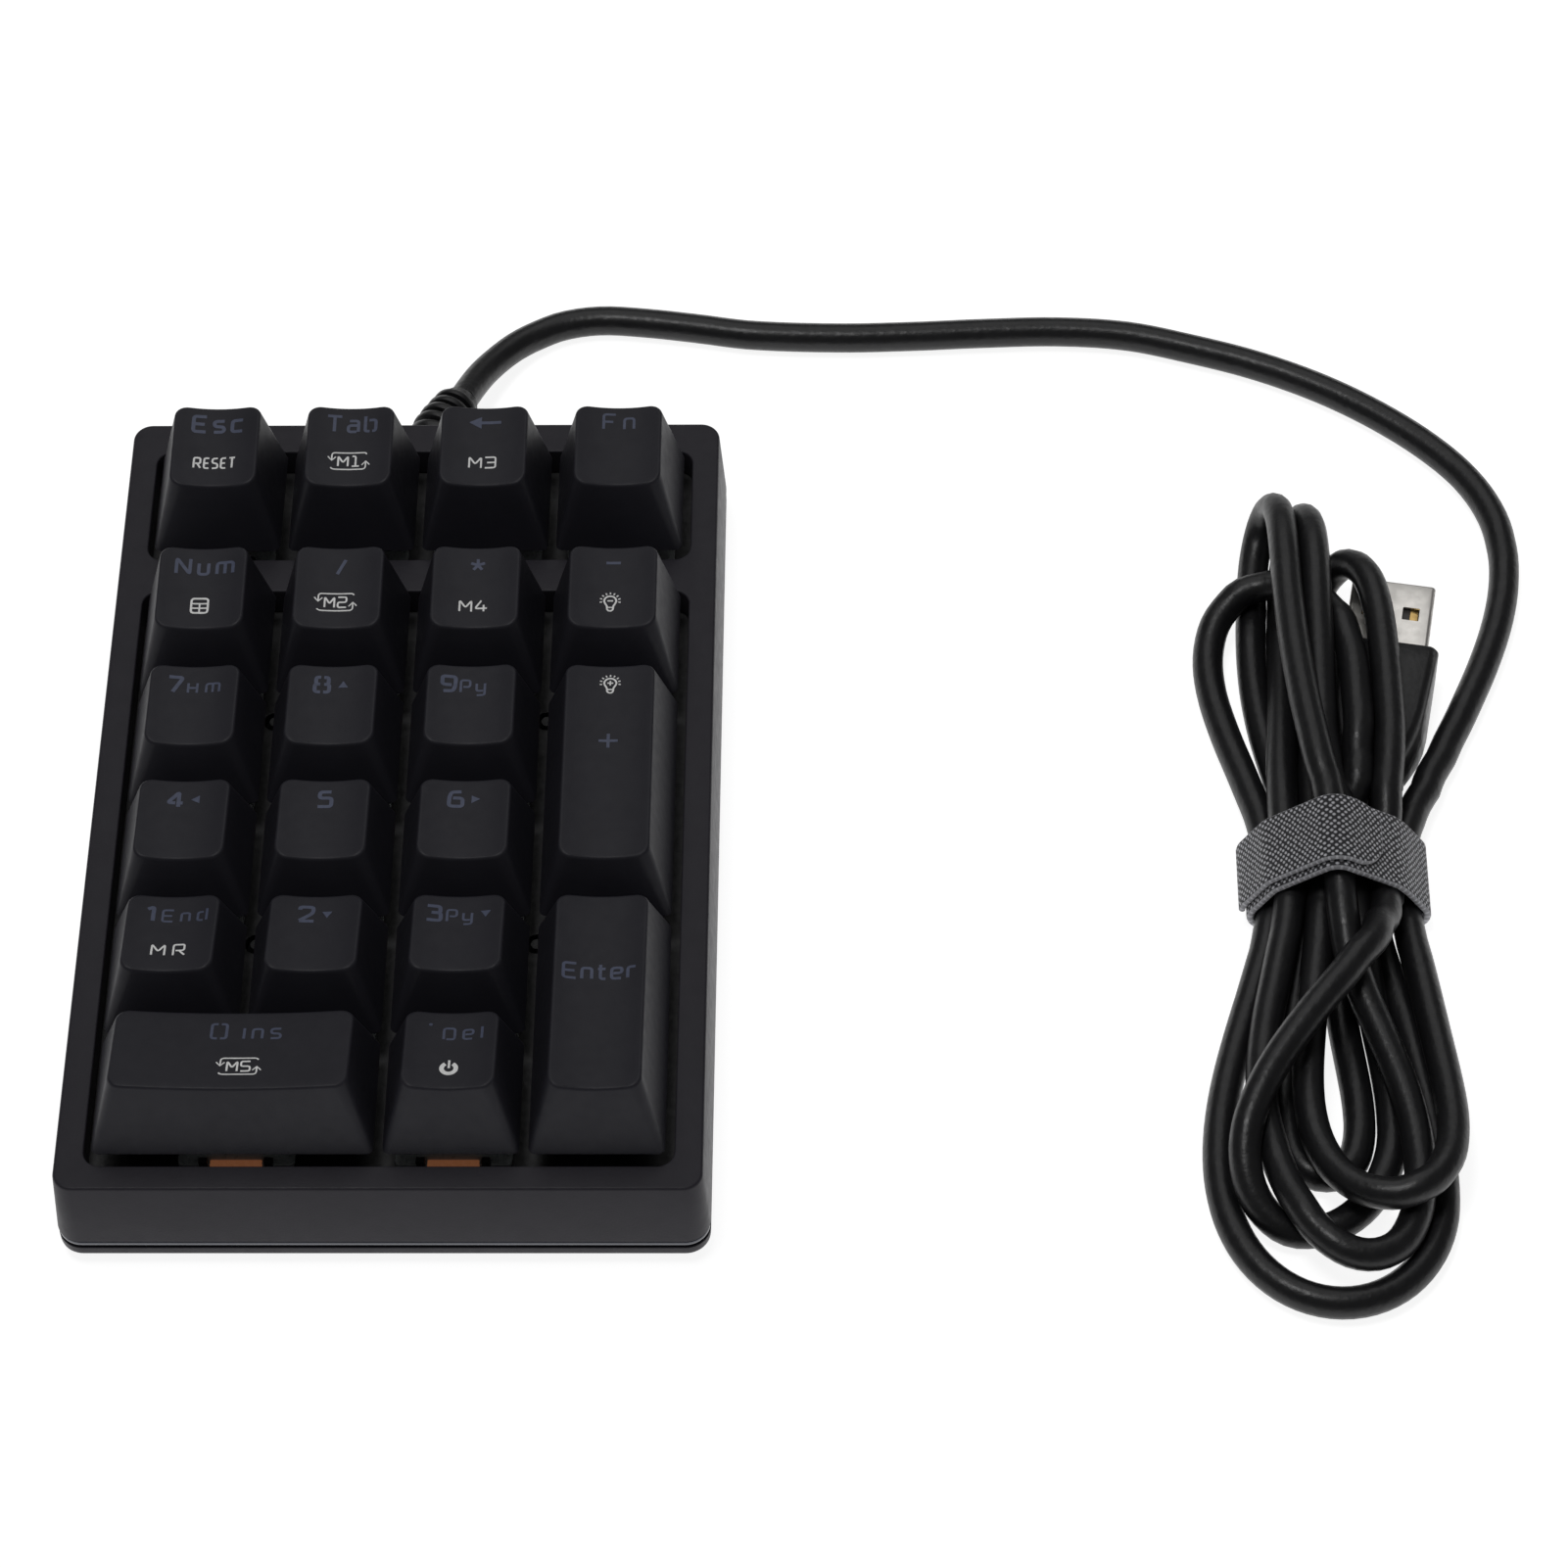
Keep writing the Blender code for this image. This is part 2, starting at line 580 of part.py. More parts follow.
def main():
    for old in list(bpy.data.objects):
        bpy.data.objects.remove(old)
    holder = bpy.data.objects.new("keypad", None)
    bpy.context.scene.collection.objects.link(holder)

    case_plastic = material("case_plastic", (0.030, 0.029, 0.034), 0.45)
    cap_plastic = material("keycap_plastic", (0.022, 0.023, 0.028), 0.5)
    switch_plastic = material("switch_plastic", (0.16, 0.16, 0.17), 0.25)
    board_resin = material("board_resin", (0.02, 0.05, 0.03), 0.5)
    plate_steel = material("plate_steel", (0.05, 0.05, 0.055), 0.4, metallic=0.7)
    strip_acrylic = material("strip_acrylic", (0.10, 0.11, 0.13), 0.15)
    screw_steel = material("screw_steel", (0.5, 0.5, 0.52), 0.3, metallic=1.0)
    foot_rubber = material("foot_rubber", (0.02, 0.02, 0.02), 0.85)
    cord_vinyl = material("cord_vinyl", (0.012, 0.012, 0.013), 0.35)
    tie_fabric = material("tie_fabric", (0.12, 0.12, 0.125), 0.9)
    shell_steel = material("plug_steel", (0.62, 0.62, 0.64), 0.25, metallic=1.0)
    insert_plastic = material("insert_plastic", (0.7, 0.7, 0.7), 0.5)

    make_base(case_plastic, holder)
    make_light_strip(strip_acrylic, holder)
    make_cover(case_plastic, holder)
    make_board(board_resin, holder)
    make_plate(plate_steel, holder)
    make_switches(switch_plastic, holder)
    make_keys(cap_plastic, holder)
    make_screws(screw_steel, holder)
    make_feet(foot_rubber, holder)
    make_strain_relief(cord_vinyl)
    make_cord(cord_vinyl)
    make_hank(cord_vinyl)
    make_tie(tie_fabric)
    make_plug(shell_steel, cord_vinyl, insert_plastic)


main()
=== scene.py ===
"""Numeric keypad: the looks of its case, keys, switches, folded lead and plug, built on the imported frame.

Every size is in metres. The frame's origin is on the surface that the keypad stands on, under the
middle of the case. +Y is the far side and +Z is up.
"""

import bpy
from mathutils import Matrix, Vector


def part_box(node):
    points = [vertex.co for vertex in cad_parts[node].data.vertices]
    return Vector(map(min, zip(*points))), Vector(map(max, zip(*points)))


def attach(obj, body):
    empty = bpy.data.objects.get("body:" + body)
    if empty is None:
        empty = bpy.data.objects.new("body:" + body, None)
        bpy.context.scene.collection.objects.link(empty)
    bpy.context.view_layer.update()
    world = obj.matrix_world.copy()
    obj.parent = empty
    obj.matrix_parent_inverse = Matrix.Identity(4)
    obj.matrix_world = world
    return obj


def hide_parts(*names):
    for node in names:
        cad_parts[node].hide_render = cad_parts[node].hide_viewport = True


bl_info = {
    "name": "Numeric Keypad",
    "version": (1, 0, 0),
    "blender": (4, 5, 0),
    "location": "View3D > Sidebar > Keypad",
    "description": "Builds a numeric keypad with 21 sprung keys, its tied lead and a white studio",
    "category": "Add Mesh",
}

from functools import cache
from math import cos, pi, radians, sin, tan

import bmesh
import bpy
import numpy as np
from bpy.props import FloatProperty, FloatVectorProperty, IntProperty, PointerProperty
from mathutils import Matrix, Vector
from mathutils.geometry import interpolate_bezier

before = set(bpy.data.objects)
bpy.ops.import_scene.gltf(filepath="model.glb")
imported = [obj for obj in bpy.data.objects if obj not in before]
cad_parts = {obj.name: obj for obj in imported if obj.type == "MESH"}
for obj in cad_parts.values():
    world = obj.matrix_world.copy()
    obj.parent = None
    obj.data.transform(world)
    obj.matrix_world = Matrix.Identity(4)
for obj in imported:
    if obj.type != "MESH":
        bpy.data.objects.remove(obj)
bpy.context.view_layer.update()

# ---------------------------------------------------------------- camera

CAMERA_PLACE = (0.0650, -0.42917, 0.58749)
CAMERA_DOWN = radians(53.032)      # how far below the horizon it looks
CAMERA_TURN = radians(-1.681)      # its heading, clockwise from +Y
CAMERA_ROLL = radians(-1.429)
CAMERA_LENS = 119.39               # millimetres, on a 36 mm sensor

# ---------------------------------------------------------------- lead

CORD_DIAMETER = 0.0044
ROUTE_SPACING = 0.0016
BOOT_ROUTE = (
    (0.0, 0.06695, 0.0086), (0.0002, 0.0692, 0.00855), (0.0011, 0.0722, 0.0083),
    (0.0024, 0.0754, 0.0077), (0.00375, 0.0787, 0.00675),
)
# From the end of the strain relief, round behind the case, to the tied bundle.
CORD_RUN = (
    (0.00384, 0.07898, 0.00667), (0.0049, 0.0824, 0.0056), (0.0064, 0.0861, 0.0046),
    (0.0086, 0.0899, 0.0036), (0.0111, 0.0931, 0.0029), (0.014, 0.0956, 0.0024),
    (0.018, 0.0977, 0.0023), (0.0236, 0.0987, 0.0023), (0.0305, 0.0982, 0.0023),
    (0.038, 0.0971, 0.0023), (0.0465, 0.0957, 0.0023), (0.0599, 0.0951, 0.0023),
    (0.0713, 0.0954, 0.0023), (0.0807, 0.0959, 0.0023), (0.0923, 0.0962, 0.0023),
    (0.1028, 0.0953, 0.0023), (0.1123, 0.0927, 0.0023), (0.1218, 0.0894, 0.0023),
    (0.1311, 0.0849, 0.0023), (0.1393, 0.0795, 0.0023), (0.1466, 0.0732, 0.0023),
    (0.152, 0.0666, 0.0023), (0.1552, 0.0594, 0.0023), (0.1561, 0.052, 0.0023),
    (0.1556, 0.0447, 0.0023), (0.1538, 0.038, 0.0023), (0.1513, 0.0315, 0.0023),
    (0.1486, 0.0258, 0.0023), (0.1461, 0.0204, 0.0023), (0.1434, 0.0152, 0.0023),
    (0.1401, 0.0092, 0.0026),
)
# How far apart points this many steps from each other stay, so that no fold closes up.
OPEN_FOLDS = ((3, 0.0043), (6, 0.0062))
# How strongly bends are evened out, over this many steps to each side.
EVENED_BENDS = ((1, 0.45), (4, 0.30))
STRAP_FRONT = -0.0131              # the strap's two edges, along Y
STRAP_BACK = -0.0011
STRAP_FADE = 0.004                 # how far outside the strap its hold on the strands fades out
# Where strands pass through the strap, as (x, z), and the loop that each one goes on to. Passes
# go towards the front and towards the back by turns.
FOLDS = (
    ((0.1376, 0.0039), (   # right of the bundle, then back over the middle
        (0.1365, -0.0160, 0.005), (0.1370, -0.0297, 0.007), (0.1385, -0.0425, 0.007),
        (0.1412, -0.0532, 0.0068), (0.1412, -0.0602, 0.0068), (0.1375, -0.0645, 0.0068),
        (0.1325, -0.0634, 0.0068), (0.128, -0.0602, 0.0068), (0.1245, -0.0548, 0.0068),
        (0.1225, -0.0479, 0.0065), (0.1225, -0.0393, 0.0065), (0.124, -0.0275, 0.006),
        (0.1255, -0.0165, 0.006),
    )),
    ((0.1262, 0.00775), (  # tall loop that comes down over the plug
        (0.1270, 0.0205, 0.0035), (0.1292, 0.0335, 0.0023), (0.1288, 0.0425, 0.0035),
        (0.1290, 0.0478, 0.006), (0.1298, 0.0505, 0.008), (0.1312, 0.0505, 0.009),
        (0.1333, 0.0478, 0.0095), (0.1338, 0.0409, 0.0095), (0.1338, 0.0323, 0.010),
        (0.1336, 0.0216, 0.0105), (0.1336, 0.012, 0.010), (0.133, 0.0035, 0.009),
    )),
    ((0.1352, 0.00775), (  # crosses over the others to the left
        (0.134, -0.0130, 0.009), (0.130, -0.0190, 0.009), (0.1255, -0.0259, 0.009),
        (0.1205, -0.0351, 0.009), (0.117, -0.0431, 0.0085), (0.116, -0.0496, 0.008),
        (0.116, -0.0566, 0.0075), (0.117, -0.0625, 0.006), (0.1195, -0.0668, 0.004),
        (0.1225, -0.0668, 0.0025), (0.126, -0.0636, 0.0023), (0.130, -0.0587, 0.0023),
        (0.132, -0.0512, 0.0023), (0.1325, -0.0415, 0.0023), (0.131, -0.0302, 0.0028),
        (0.1295, -0.0195, 0.004),
    )),
    ((0.1306, 0.00775), (
        (0.1295, 0.004, 0.009), (0.1296, 0.020, 0.0105), (0.1283, 0.032, 0.0112),
        (0.1268, 0.0415, 0.0112), (0.1260, 0.0500, 0.0105), (0.1258, 0.0567, 0.0085),
        (0.1256, 0.0592, 0.0060), (0.1256, 0.0575, 0.0037), (0.1256, 0.0530, 0.0024),
        (0.1254, 0.040, 0.0023), (0.1243, 0.0275, 0.0030), (0.123, 0.015, 0.0055),
    )),
    ((0.1218, 0.00775), (
        (0.1195, -0.0180, 0.006), (0.117, -0.0271, 0.005), (0.1165, -0.0395, 0.0045),
        (0.1175, -0.0488, 0.0045), (0.1205, -0.0591, 0.0055), (0.1235, -0.0667, 0.006),
        (0.1275, -0.0716, 0.0055), (0.132, -0.0732, 0.0055), (0.135, -0.0711, 0.006),
        (0.1368, -0.0650, 0.0066), (0.137, -0.0565, 0.0068), (0.1363, -0.0444, 0.0068),
        (0.1348, -0.0319, 0.0068), (0.132, -0.021, 0.007),
    )),
    ((0.1284, 0.0116), (   # longest loop, on top at the back
        (0.1268, 0.001, 0.012), (0.1262, 0.0125, 0.0125), (0.1254, 0.0229, 0.0130),
        (0.1243, 0.0327, 0.0132), (0.1233, 0.0446, 0.0135), (0.1225, 0.0535, 0.0125),
        (0.1220, 0.0585, 0.0105), (0.1215, 0.0600, 0.0077), (0.1213, 0.0580, 0.0047),
        (0.1212, 0.0535, 0.0027), (0.1211, 0.0500, 0.0023), (0.1209, 0.040, 0.0023),
        (0.1215, 0.028, 0.0023), (0.1226, 0.0135, 0.003),
    )),
    ((0.1240, 0.0039), (   # short loop, under the others
        (0.1228, -0.020, 0.0023), (0.1222, -0.036, 0.0023), (0.1223, -0.048, 0.0023),
        (0.1235, -0.0565, 0.0023), (0.1260, -0.0595, 0.0023), (0.1284, -0.0555, 0.0023),
        (0.1290, -0.044, 0.0023), (0.1288, -0.032, 0.0023), (0.1285, -0.020, 0.0023),
    )),
    ((0.1284, 0.0039), (   # wide loop that lies out to the left
        (0.1290, 0.012, 0.0055), (0.1296, 0.024, 0.0067), (0.1294, 0.0335, 0.0067),
        (0.1278, 0.0398, 0.0067), (0.1248, 0.0437, 0.0068), (0.1215, 0.0460, 0.0068),
        (0.1180, 0.0455, 0.0062), (0.115, 0.0436, 0.0045), (0.1128, 0.0400, 0.003),
        (0.1120, 0.0345, 0.0023), (0.1128, 0.028, 0.0023), (0.115, 0.020, 0.0023),
        (0.118, 0.010, 0.0028),
    )),
    ((0.1196, 0.0039), (   # largest loop, at the front
        (0.1185, -0.0140, 0.003), (0.1165, -0.0221, 0.0023), (0.1135, -0.0342, 0.0023),
        (0.111, -0.0463, 0.0023), (0.110, -0.0552, 0.0023), (0.112, -0.0642, 0.0023),
        (0.1165, -0.0721, 0.0023), (0.122, -0.0763, 0.0023), (0.1275, -0.0768, 0.0023),
        (0.1335, -0.0736, 0.0023), (0.1370, -0.0684, 0.0023), (0.1372, -0.0626, 0.0023),
        (0.1372, -0.0526, 0.0023), (0.1368, -0.0405, 0.0023), (0.137, -0.0263, 0.0025),
        (0.1345, -0.0150, 0.003),
    )),
    ((0.1330, 0.0039), ()),        # last pass, to the plug
)
PLUG_TIP = Vector((0.1396, 0.0441, 0.0043))
PLUG_TILT = radians(-9.5)
PLUG_FRAME = Matrix.Translation(PLUG_TIP) @ Matrix.Rotation(PLUG_TILT, 4, "Z")
PLUG_TAIL = 0.0395                 # from the plug's tip to the end of its grip
# Blocks that strands are kept out of: the middle of each along the plug, and its half sizes.
PLUG_BLOCKS = (
    (-0.0060, (0.0060, 0.0060, 0.00225)), (-0.0195, (0.0075, 0.0075, 0.0041)),
    (-0.0300, (0.0060, 0.0030, 0.0037)), (-0.0360, (0.0043, 0.0035, 0.0031)),
)


# ---------------------------------------------------------------- building meshes

def rounded_outline(low, high, radius, arc=8, across=1, along=1):
    """Points round a rectangle with round corners, anticlockwise, its straight sides split evenly."""
    centres = (
        (high[0] - radius, high[1] - radius), (low[0] + radius, high[1] - radius),
        (low[0] + radius, low[1] + radius), (high[0] - radius, low[1] + radius),
    )
    points = []
    for quarter, (x, y) in enumerate(centres):
        for step in range(arc + 1):
            angle = pi / 2 * (quarter + step / arc)
            points.append(Vector((x + radius * cos(angle), y + radius * sin(angle))))
        next_x, next_y = centres[(quarter + 1) % 4]
        angle = pi / 2 * (quarter + 1)
        ahead = Vector((next_x + radius * cos(angle), next_y + radius * sin(angle)))
        splits = along if quarter % 2 else across
        behind = points[-1]
        points += [behind.lerp(ahead, i / splits) for i in range(1, splits)]
    return points


def circle_outline(x, y, radius, sides=32):
    return [Vector((x + radius * cos(2 * pi * i / sides), y + radius * sin(2 * pi * i / sides)))
            for i in range(sides)]


def at_height(outline, z):
    return [Vector((point.x, point.y, z)) for point in outline]


def add_loft(bm, rings, close_start=False, close_end=False, slot=0, around=False):
    """Quads between rings of equally many points. The ends can be closed, or joined to each other."""
    made = [[bm.verts.new(point) for point in ring] for ring in rings]
    for lower, upper in zip(made, made[1:] + made[:1] if around else made[1:]):
        count = len(lower)
        for i in range(count):
            j = (i + 1) % count
            bm.faces.new((lower[i], lower[j], upper[j], upper[i])).material_index = slot
    if close_start:
        bm.faces.new(list(reversed(made[0]))).material_index = slot
    if close_end:
        bm.faces.new(made[-1]).material_index = slot
    return made


def loft(rings, close_start=True, close_end=True):
    bm = bmesh.new()
    add_loft(bm, rings, close_start, close_end)
    return bm


def add_block(bm, low, high, radius, slot=0, arc=3):
    """A rounded block from its lowest corner to its highest, standing upright."""
    edge = min(radius, (high[2] - low[2]) * 0.45)
    rings = []
    for inset, z in ((edge, low[2]), (0.3 * edge, low[2] + 0.3 * edge), (0, low[2] + edge),
                     (0, high[2] - edge), (0.3 * edge, high[2] - 0.3 * edge), (edge, high[2])):
        corner = max(radius - inset, radius * 0.2)
        near, far = (low[0] + inset, low[1] + inset), (high[0] - inset, high[1] - inset)
        rings.append(at_height(rounded_outline(near, far, corner, arc), z))
    add_loft(bm, rings, True, True, slot)


def mesh_from(name, bm, sharp=35):
    """A smooth-shaded mesh whose edges stay sharp past that many degrees."""
    bmesh.ops.recalc_face_normals(bm, faces=bm.faces)
    mesh = bpy.data.meshes.new(name)
    bm.to_mesh(mesh)
    bm.free()
    mesh.shade_smooth()
    mesh.set_sharp_from_angle(angle=radians(sharp))
    return mesh


def add_piece(name, mesh, finishes, body="case", stands_for=(), place=(0, 0, 0), turn=0.0):
    """An object from a mesh, riding on its body, in place of the CAD nodes that it stands for."""
    if not mesh.materials:
        for finish in finishes:
            mesh.materials.append(finish)
    piece = bpy.data.objects.new(name, mesh)
    piece.location = place
    piece.rotation_euler.z = turn
    bpy.context.scene.collection.objects.link(piece)
    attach(piece, body)
    if stands_for:
        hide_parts(*stands_for)
    return piece


def cut_away(piece, bm):
    """Takes the cutter's shape out of a piece for good."""
    cutter = bpy.data.objects.new("cutter", mesh_from("cutter", bm))
    bpy.context.scene.collection.objects.link(cutter)
    modifier = piece.modifiers.new("cut", "BOOLEAN")
    modifier.solver = "EXACT"
    modifier.object = cutter
    graph = bpy.context.evaluated_depsgraph_get()
    result = bpy.data.meshes.new_from_object(piece.evaluated_get(graph))
    piece.modifiers.remove(modifier)
    piece.data = result
    bpy.data.objects.remove(cutter)
    result.set_sharp_from_angle(angle=radians(35))


def smooth_route(points, spacing):
    """Evenly spaced points on a smooth curve through the given ones, as an array."""
    spots = [Vector(point) for point in points]
    fine = []
    for i in range(len(spots) - 1):
        before = spots[max(i - 1, 0)]
        after = spots[min(i + 2, len(spots) - 1)]
        reach = (spots[i + 1] - spots[i]).length / 3
        out = (spots[i + 1] - before).normalized() * reach
        back = (after - spots[i]).normalized() * reach
        fine += interpolate_bezier(spots[i], spots[i] + out, spots[i + 1] - back, spots[i + 1], 16)[:-1]
    fine.append(spots[-1])
    return evenly_spaced(np.array(fine), spacing)


def evenly_spaced(line, spacing):
    steps = np.linalg.norm(np.diff(line, axis=0), axis=1)
    along = np.concatenate([[0.0], np.cumsum(steps)])
    wanted = np.linspace(0.0, along[-1], int(round(along[-1] / spacing)) + 1)
    return np.stack([np.interp(wanted, along, column) for column in line.T], axis=1)


# ---------------------------------------------------------------- the folded lead

def plug_place(sideways, behind_tip, up=0.0):
    """A point in the frame from its place in the plug's own axes."""
    return PLUG_FRAME @ Vector((sideways, -behind_tip, up))


def lead_route():
    """The whole lead: the run behind the case, every fold of the bundle, and the way into the plug."""
    route = list(CORD_RUN)
    towards_front = True
    for (x, z), loop in FOLDS:
        edges = (STRAP_BACK, STRAP_FRONT) if towards_front else (STRAP_FRONT, STRAP_BACK)
        route += [(x, edges[0], z), (x, edges[1], z)]
        route += loop
        towards_front = not towards_front
    route += [tuple(plug_place(0.0, behind)) for behind in (0.0430, PLUG_TAIL, 0.0350)]
    return route


def out_of_plug(points, clearance):
    """How far each point has to move to stand clear of the plug."""
    turn = np.array(Matrix.Rotation(-PLUG_TILT, 3, "Z"))
    local = (points - np.array(PLUG_TIP)) @ turn.T
    move = np.zeros_like(local)
    for middle, half in PLUG_BLOCKS:
        offset = local - np.array((0.0, middle, 0.0))
        past = np.abs(offset) - np.array(half)
        outside = np.maximum(past, 0.0)
        far = np.linalg.norm(outside, axis=1)
        near = (far > 0.0) & (far < clearance)
        push = np.sign(offset) * outside
        move[near] += push[near] * ((clearance - far[near]) / far[near])[:, None]
        inside = far == 0.0
        move[inside, 2] += clearance - past[inside, 2]
    return move @ turn


def settle(start, held, rounds):
    """Lays the strands beside and over each other: no two closer than a diameter, none under the surface.

    start holds evenly spaced points. held is how firmly each stays where it starts, 1 for fixed.
    """
    places = start.copy()
    count = len(places)
    spacing = float(np.linalg.norm(np.diff(start, axis=0), axis=1).mean())
    apart = CORD_DIAMETER * 1.02
    neighbours = int(2.2 * CORD_DIAMETER / spacing)
    free = (1.0 - held)[:, None]
    resting = CORD_DIAMETER / 2 + 0.0001
    on_plug = np.arange(count) < count - int(0.02 / spacing)
    pairs = None
    for turn in range(rounds):
        if turn % 8 == 0:
            gaps = np.linalg.norm(places[:, None, :] - places[None, :, :], axis=2)
            first, second = np.nonzero(np.triu(gaps < apart + 0.002, neighbours))
            pairs = (first, second)
        pull = 0.02 if turn < rounds * 0.6 else 0.006
        places += (start - places) * pull * free
        places[:, 2] -= 0.00001 * free[:, 0]
        for stride, strength in EVENED_BENDS:
            bend = np.zeros_like(places)
            between = (places[:-2 * stride] + places[2 * stride:]) / 2
            bend[stride:-stride] = between - places[stride:-stride]
            evened = np.zeros_like(places)
            inner = slice(2 * stride, -2 * stride)
            evened[inner] = bend[inner] - (bend[stride:-3 * stride] + bend[3 * stride:-stride]) / 2
            places += evened * strength * free
        places[1:-1] += ((places[:-2] + places[2:]) / 2 - places[1:-1]) * 0.03 * free[1:-1]
        for reach, chord in OPEN_FOLDS:
            across = places[reach:] - places[:-reach]
            width = np.maximum(np.linalg.norm(across, axis=1), 1e-6)
            opening = across * (0.25 * np.maximum(chord - width, 0.0) / width)[:, None]
            places[reach:] += opening * free[reach:]
            places[:-reach] -= opening * free[:-reach]
        first, second = pairs
        apart_by = places[first] - places[second]
        gap = np.maximum(np.linalg.norm(apart_by, axis=1), 1e-6)
        short = np.maximum(apart - gap, 0.0)
        push = apart_by * (0.5 * short / gap)[:, None]
        total = np.zeros_like(places)
        hits = np.zeros(count)
        np.add.at(total, first, push)
        np.add.at(total, second, -push)
        np.add.at(hits, first, short > 0)
        np.add.at(hits, second, short > 0)
        places += total / np.maximum(hits * 0.5, 1.0)[:, None] * free
        places[on_plug] += out_of_plug(places[on_plug], resting) * free[on_plug]
        places[:, 2] = np.maximum(places[:, 2], resting)
    return places


@cache
def settled_lead():
    """Points along the middle of the whole lead, once its strands lie clear of each other."""
    line = smooth_route(lead_route(), ROUTE_SPACING)
    run_length = len(smooth_route(CORD_RUN, ROUTE_SPACING)) * ROUTE_SPACING
    along = np.arange(len(line)) * ROUTE_SPACING
    held_at_start = np.clip((run_length - 0.02 - along) / 0.03, 0.0, 1.0)
    held_at_plug = np.clip((along - along[-1] + 0.012) / 0.006, 0.0, 1.0)
    past_edge = np.maximum(STRAP_FRONT - line[:, 1], line[:, 1] - STRAP_BACK)
    held_in_strap = np.clip(1.0 - past_edge / STRAP_FADE, 0.0, 1.0) * (along > run_length)
    held = np.maximum(np.maximum(held_at_start, held_at_plug), held_in_strap)
    return settle(line, held, 700)


def lead_curve(line):
    curve = bpy.data.curves.new("lead", "CURVE")
    curve.dimensions = "3D"
    curve.bevel_depth = CORD_DIAMETER / 2
    curve.bevel_resolution = sizes().cord_sides
    curve.use_fill_caps = True
    spline = curve.splines.new("POLY")
    spline.points.add(len(line) - 1)
    for point, place in zip(spline.points, line):
        point.co = (*place, 1.0)
    spline.use_smooth = True
    return curve


# ---------------------------------------------------------------- strain relief, plug and strap

STRAP_THICKNESS = 0.0010
FLAP_THICKNESS = 0.0009
FLAP_FRONT = STRAP_FRONT + 0.0009
FLAP_BACK = STRAP_BACK - 0.0003
FLAP_END = 0.1338                  # along X
FLAP_LOW = 0.0035                  # the height where the flap starts, on the left of the bundle
FLAP_SPACING = 0.0004
FLAP_ROUND = 0.0042                # how far before its end the flap begins to narrow
STRAP_REACH = 0.001                # points of the lead this near the strap count as inside it
RUN_SIDE = 0.1395                  # the run from the case passes the strap beyond this, along X
GRIP_NARROWING = 12.0
NARROWING_LENGTH = 0.021


def relief_mesh():
    """The strain relief: a flange and a neck inside the case, and a ribbed boot outside it."""
    straight = [(0.0612, 0.0030), (0.0614, 0.0032), (0.0628, 0.0032), (0.0629, 0.0029), (0.0668, 0.0029)]
    path = [Vector((0.0, y, BOOT_Z)) for y, radius in straight]
    radii = [radius for y, radius in straight]
    fine = smooth_route(BOOT_ROUTE, 0.0001)
    length = (len(fine) - 1) * 0.0001
    profile = [(0.0, 0.0038), (0.0002, 0.0041), (0.0012, 0.0042), (0.0014, 0.0034)]
    start = 0.0020
    while start + 0.0014 < length:
        rib = 0.0042 - 0.0009 * start / length
        profile += [
            (start, rib - 0.0009), (start + 0.0001, rib - 0.0001), (start + 0.0003, rib),
            (start + 0.0009, rib), (start + 0.0011, rib - 0.0001), (start + 0.0012, rib - 0.0009),
        ]
        start += 0.0019
    profile += [(length - 0.0003, 0.0027), (length, 0.0024)]
    for distance, radius in profile:
        path.append(Vector(fine[int(distance / 0.0001)]))
        radii.append(radius)
    return mesh_from("relief", loft(tube_rings(path, 0.0, 32, radii)), 50)


def plug_rings(levels, narrowing=0.0):
    """Rounded sections of the plug: each level is its distance behind the tip, half sizes and corner.

    narrowing is the share of the width that is lost at the top, for each metre behind the first
    level, as far as NARROWING_LENGTH behind it.
    """
    rings = []
    for behind, half_x, half_z, corner in levels:
        lost = narrowing * min(behind - levels[0][0], NARROWING_LENGTH)
        outline = rounded_outline((-half_x, -half_z), (half_x, half_z), corner, 5, 4, 2)
        rings.append([
            Vector((point.x * (1 - lost * (point.y + half_z) / (2 * half_z)), -behind, point.y))
            for point in outline
        ])
    return rings


def plug_mesh(name, bm, sharp=35):
    bm.transform(PLUG_FRAME)
    return mesh_from(name, bm, sharp)


def grip_mesh():
    """The moulded grip, with a long taper into a ribbed tail."""
    levels = [
        (0.01205, 0.0068, 0.0033, 0.0009), (0.01210, 0.0070, 0.0036, 0.0011),
        (0.0123, 0.0073, 0.0039, 0.0013), (0.0127, 0.0076, 0.0041, 0.0014),
        (0.0160, 0.0076, 0.0041, 0.0014), (0.0240, 0.0076, 0.0041, 0.0014),
        (0.0265, 0.0074, 0.0040, 0.0015), (0.0290, 0.0069, 0.0038, 0.0015),
        (0.0310, 0.0062, 0.0036, 0.0015), (0.0325, 0.0056, 0.0034, 0.0015),
    ]
    start = 0.0328
    while start < 0.0390:
        share = (start - 0.0328) / 0.0062
        wide, tall = 0.0054 - 0.0012 * share, 0.0033 - 0.0005 * share
        levels += [
            (start, wide - 0.0006, tall - 0.0005, 0.0015),
            (start + 0.0003, wide - 0.0006, tall - 0.0005, 0.0015),
            (start + 0.0004, wide, tall, 0.0016), (start + 0.0010, wide, tall, 0.0016),
            (start + 0.0011, wide - 0.0006, tall - 0.0005, 0.0015),
        ]
        start += 0.0013
    levels.append((PLUG_TAIL, 0.0026, 0.0024, 0.0015))
    return plug_mesh("grip", loft(plug_rings(levels, GRIP_NARROWING)), 50)


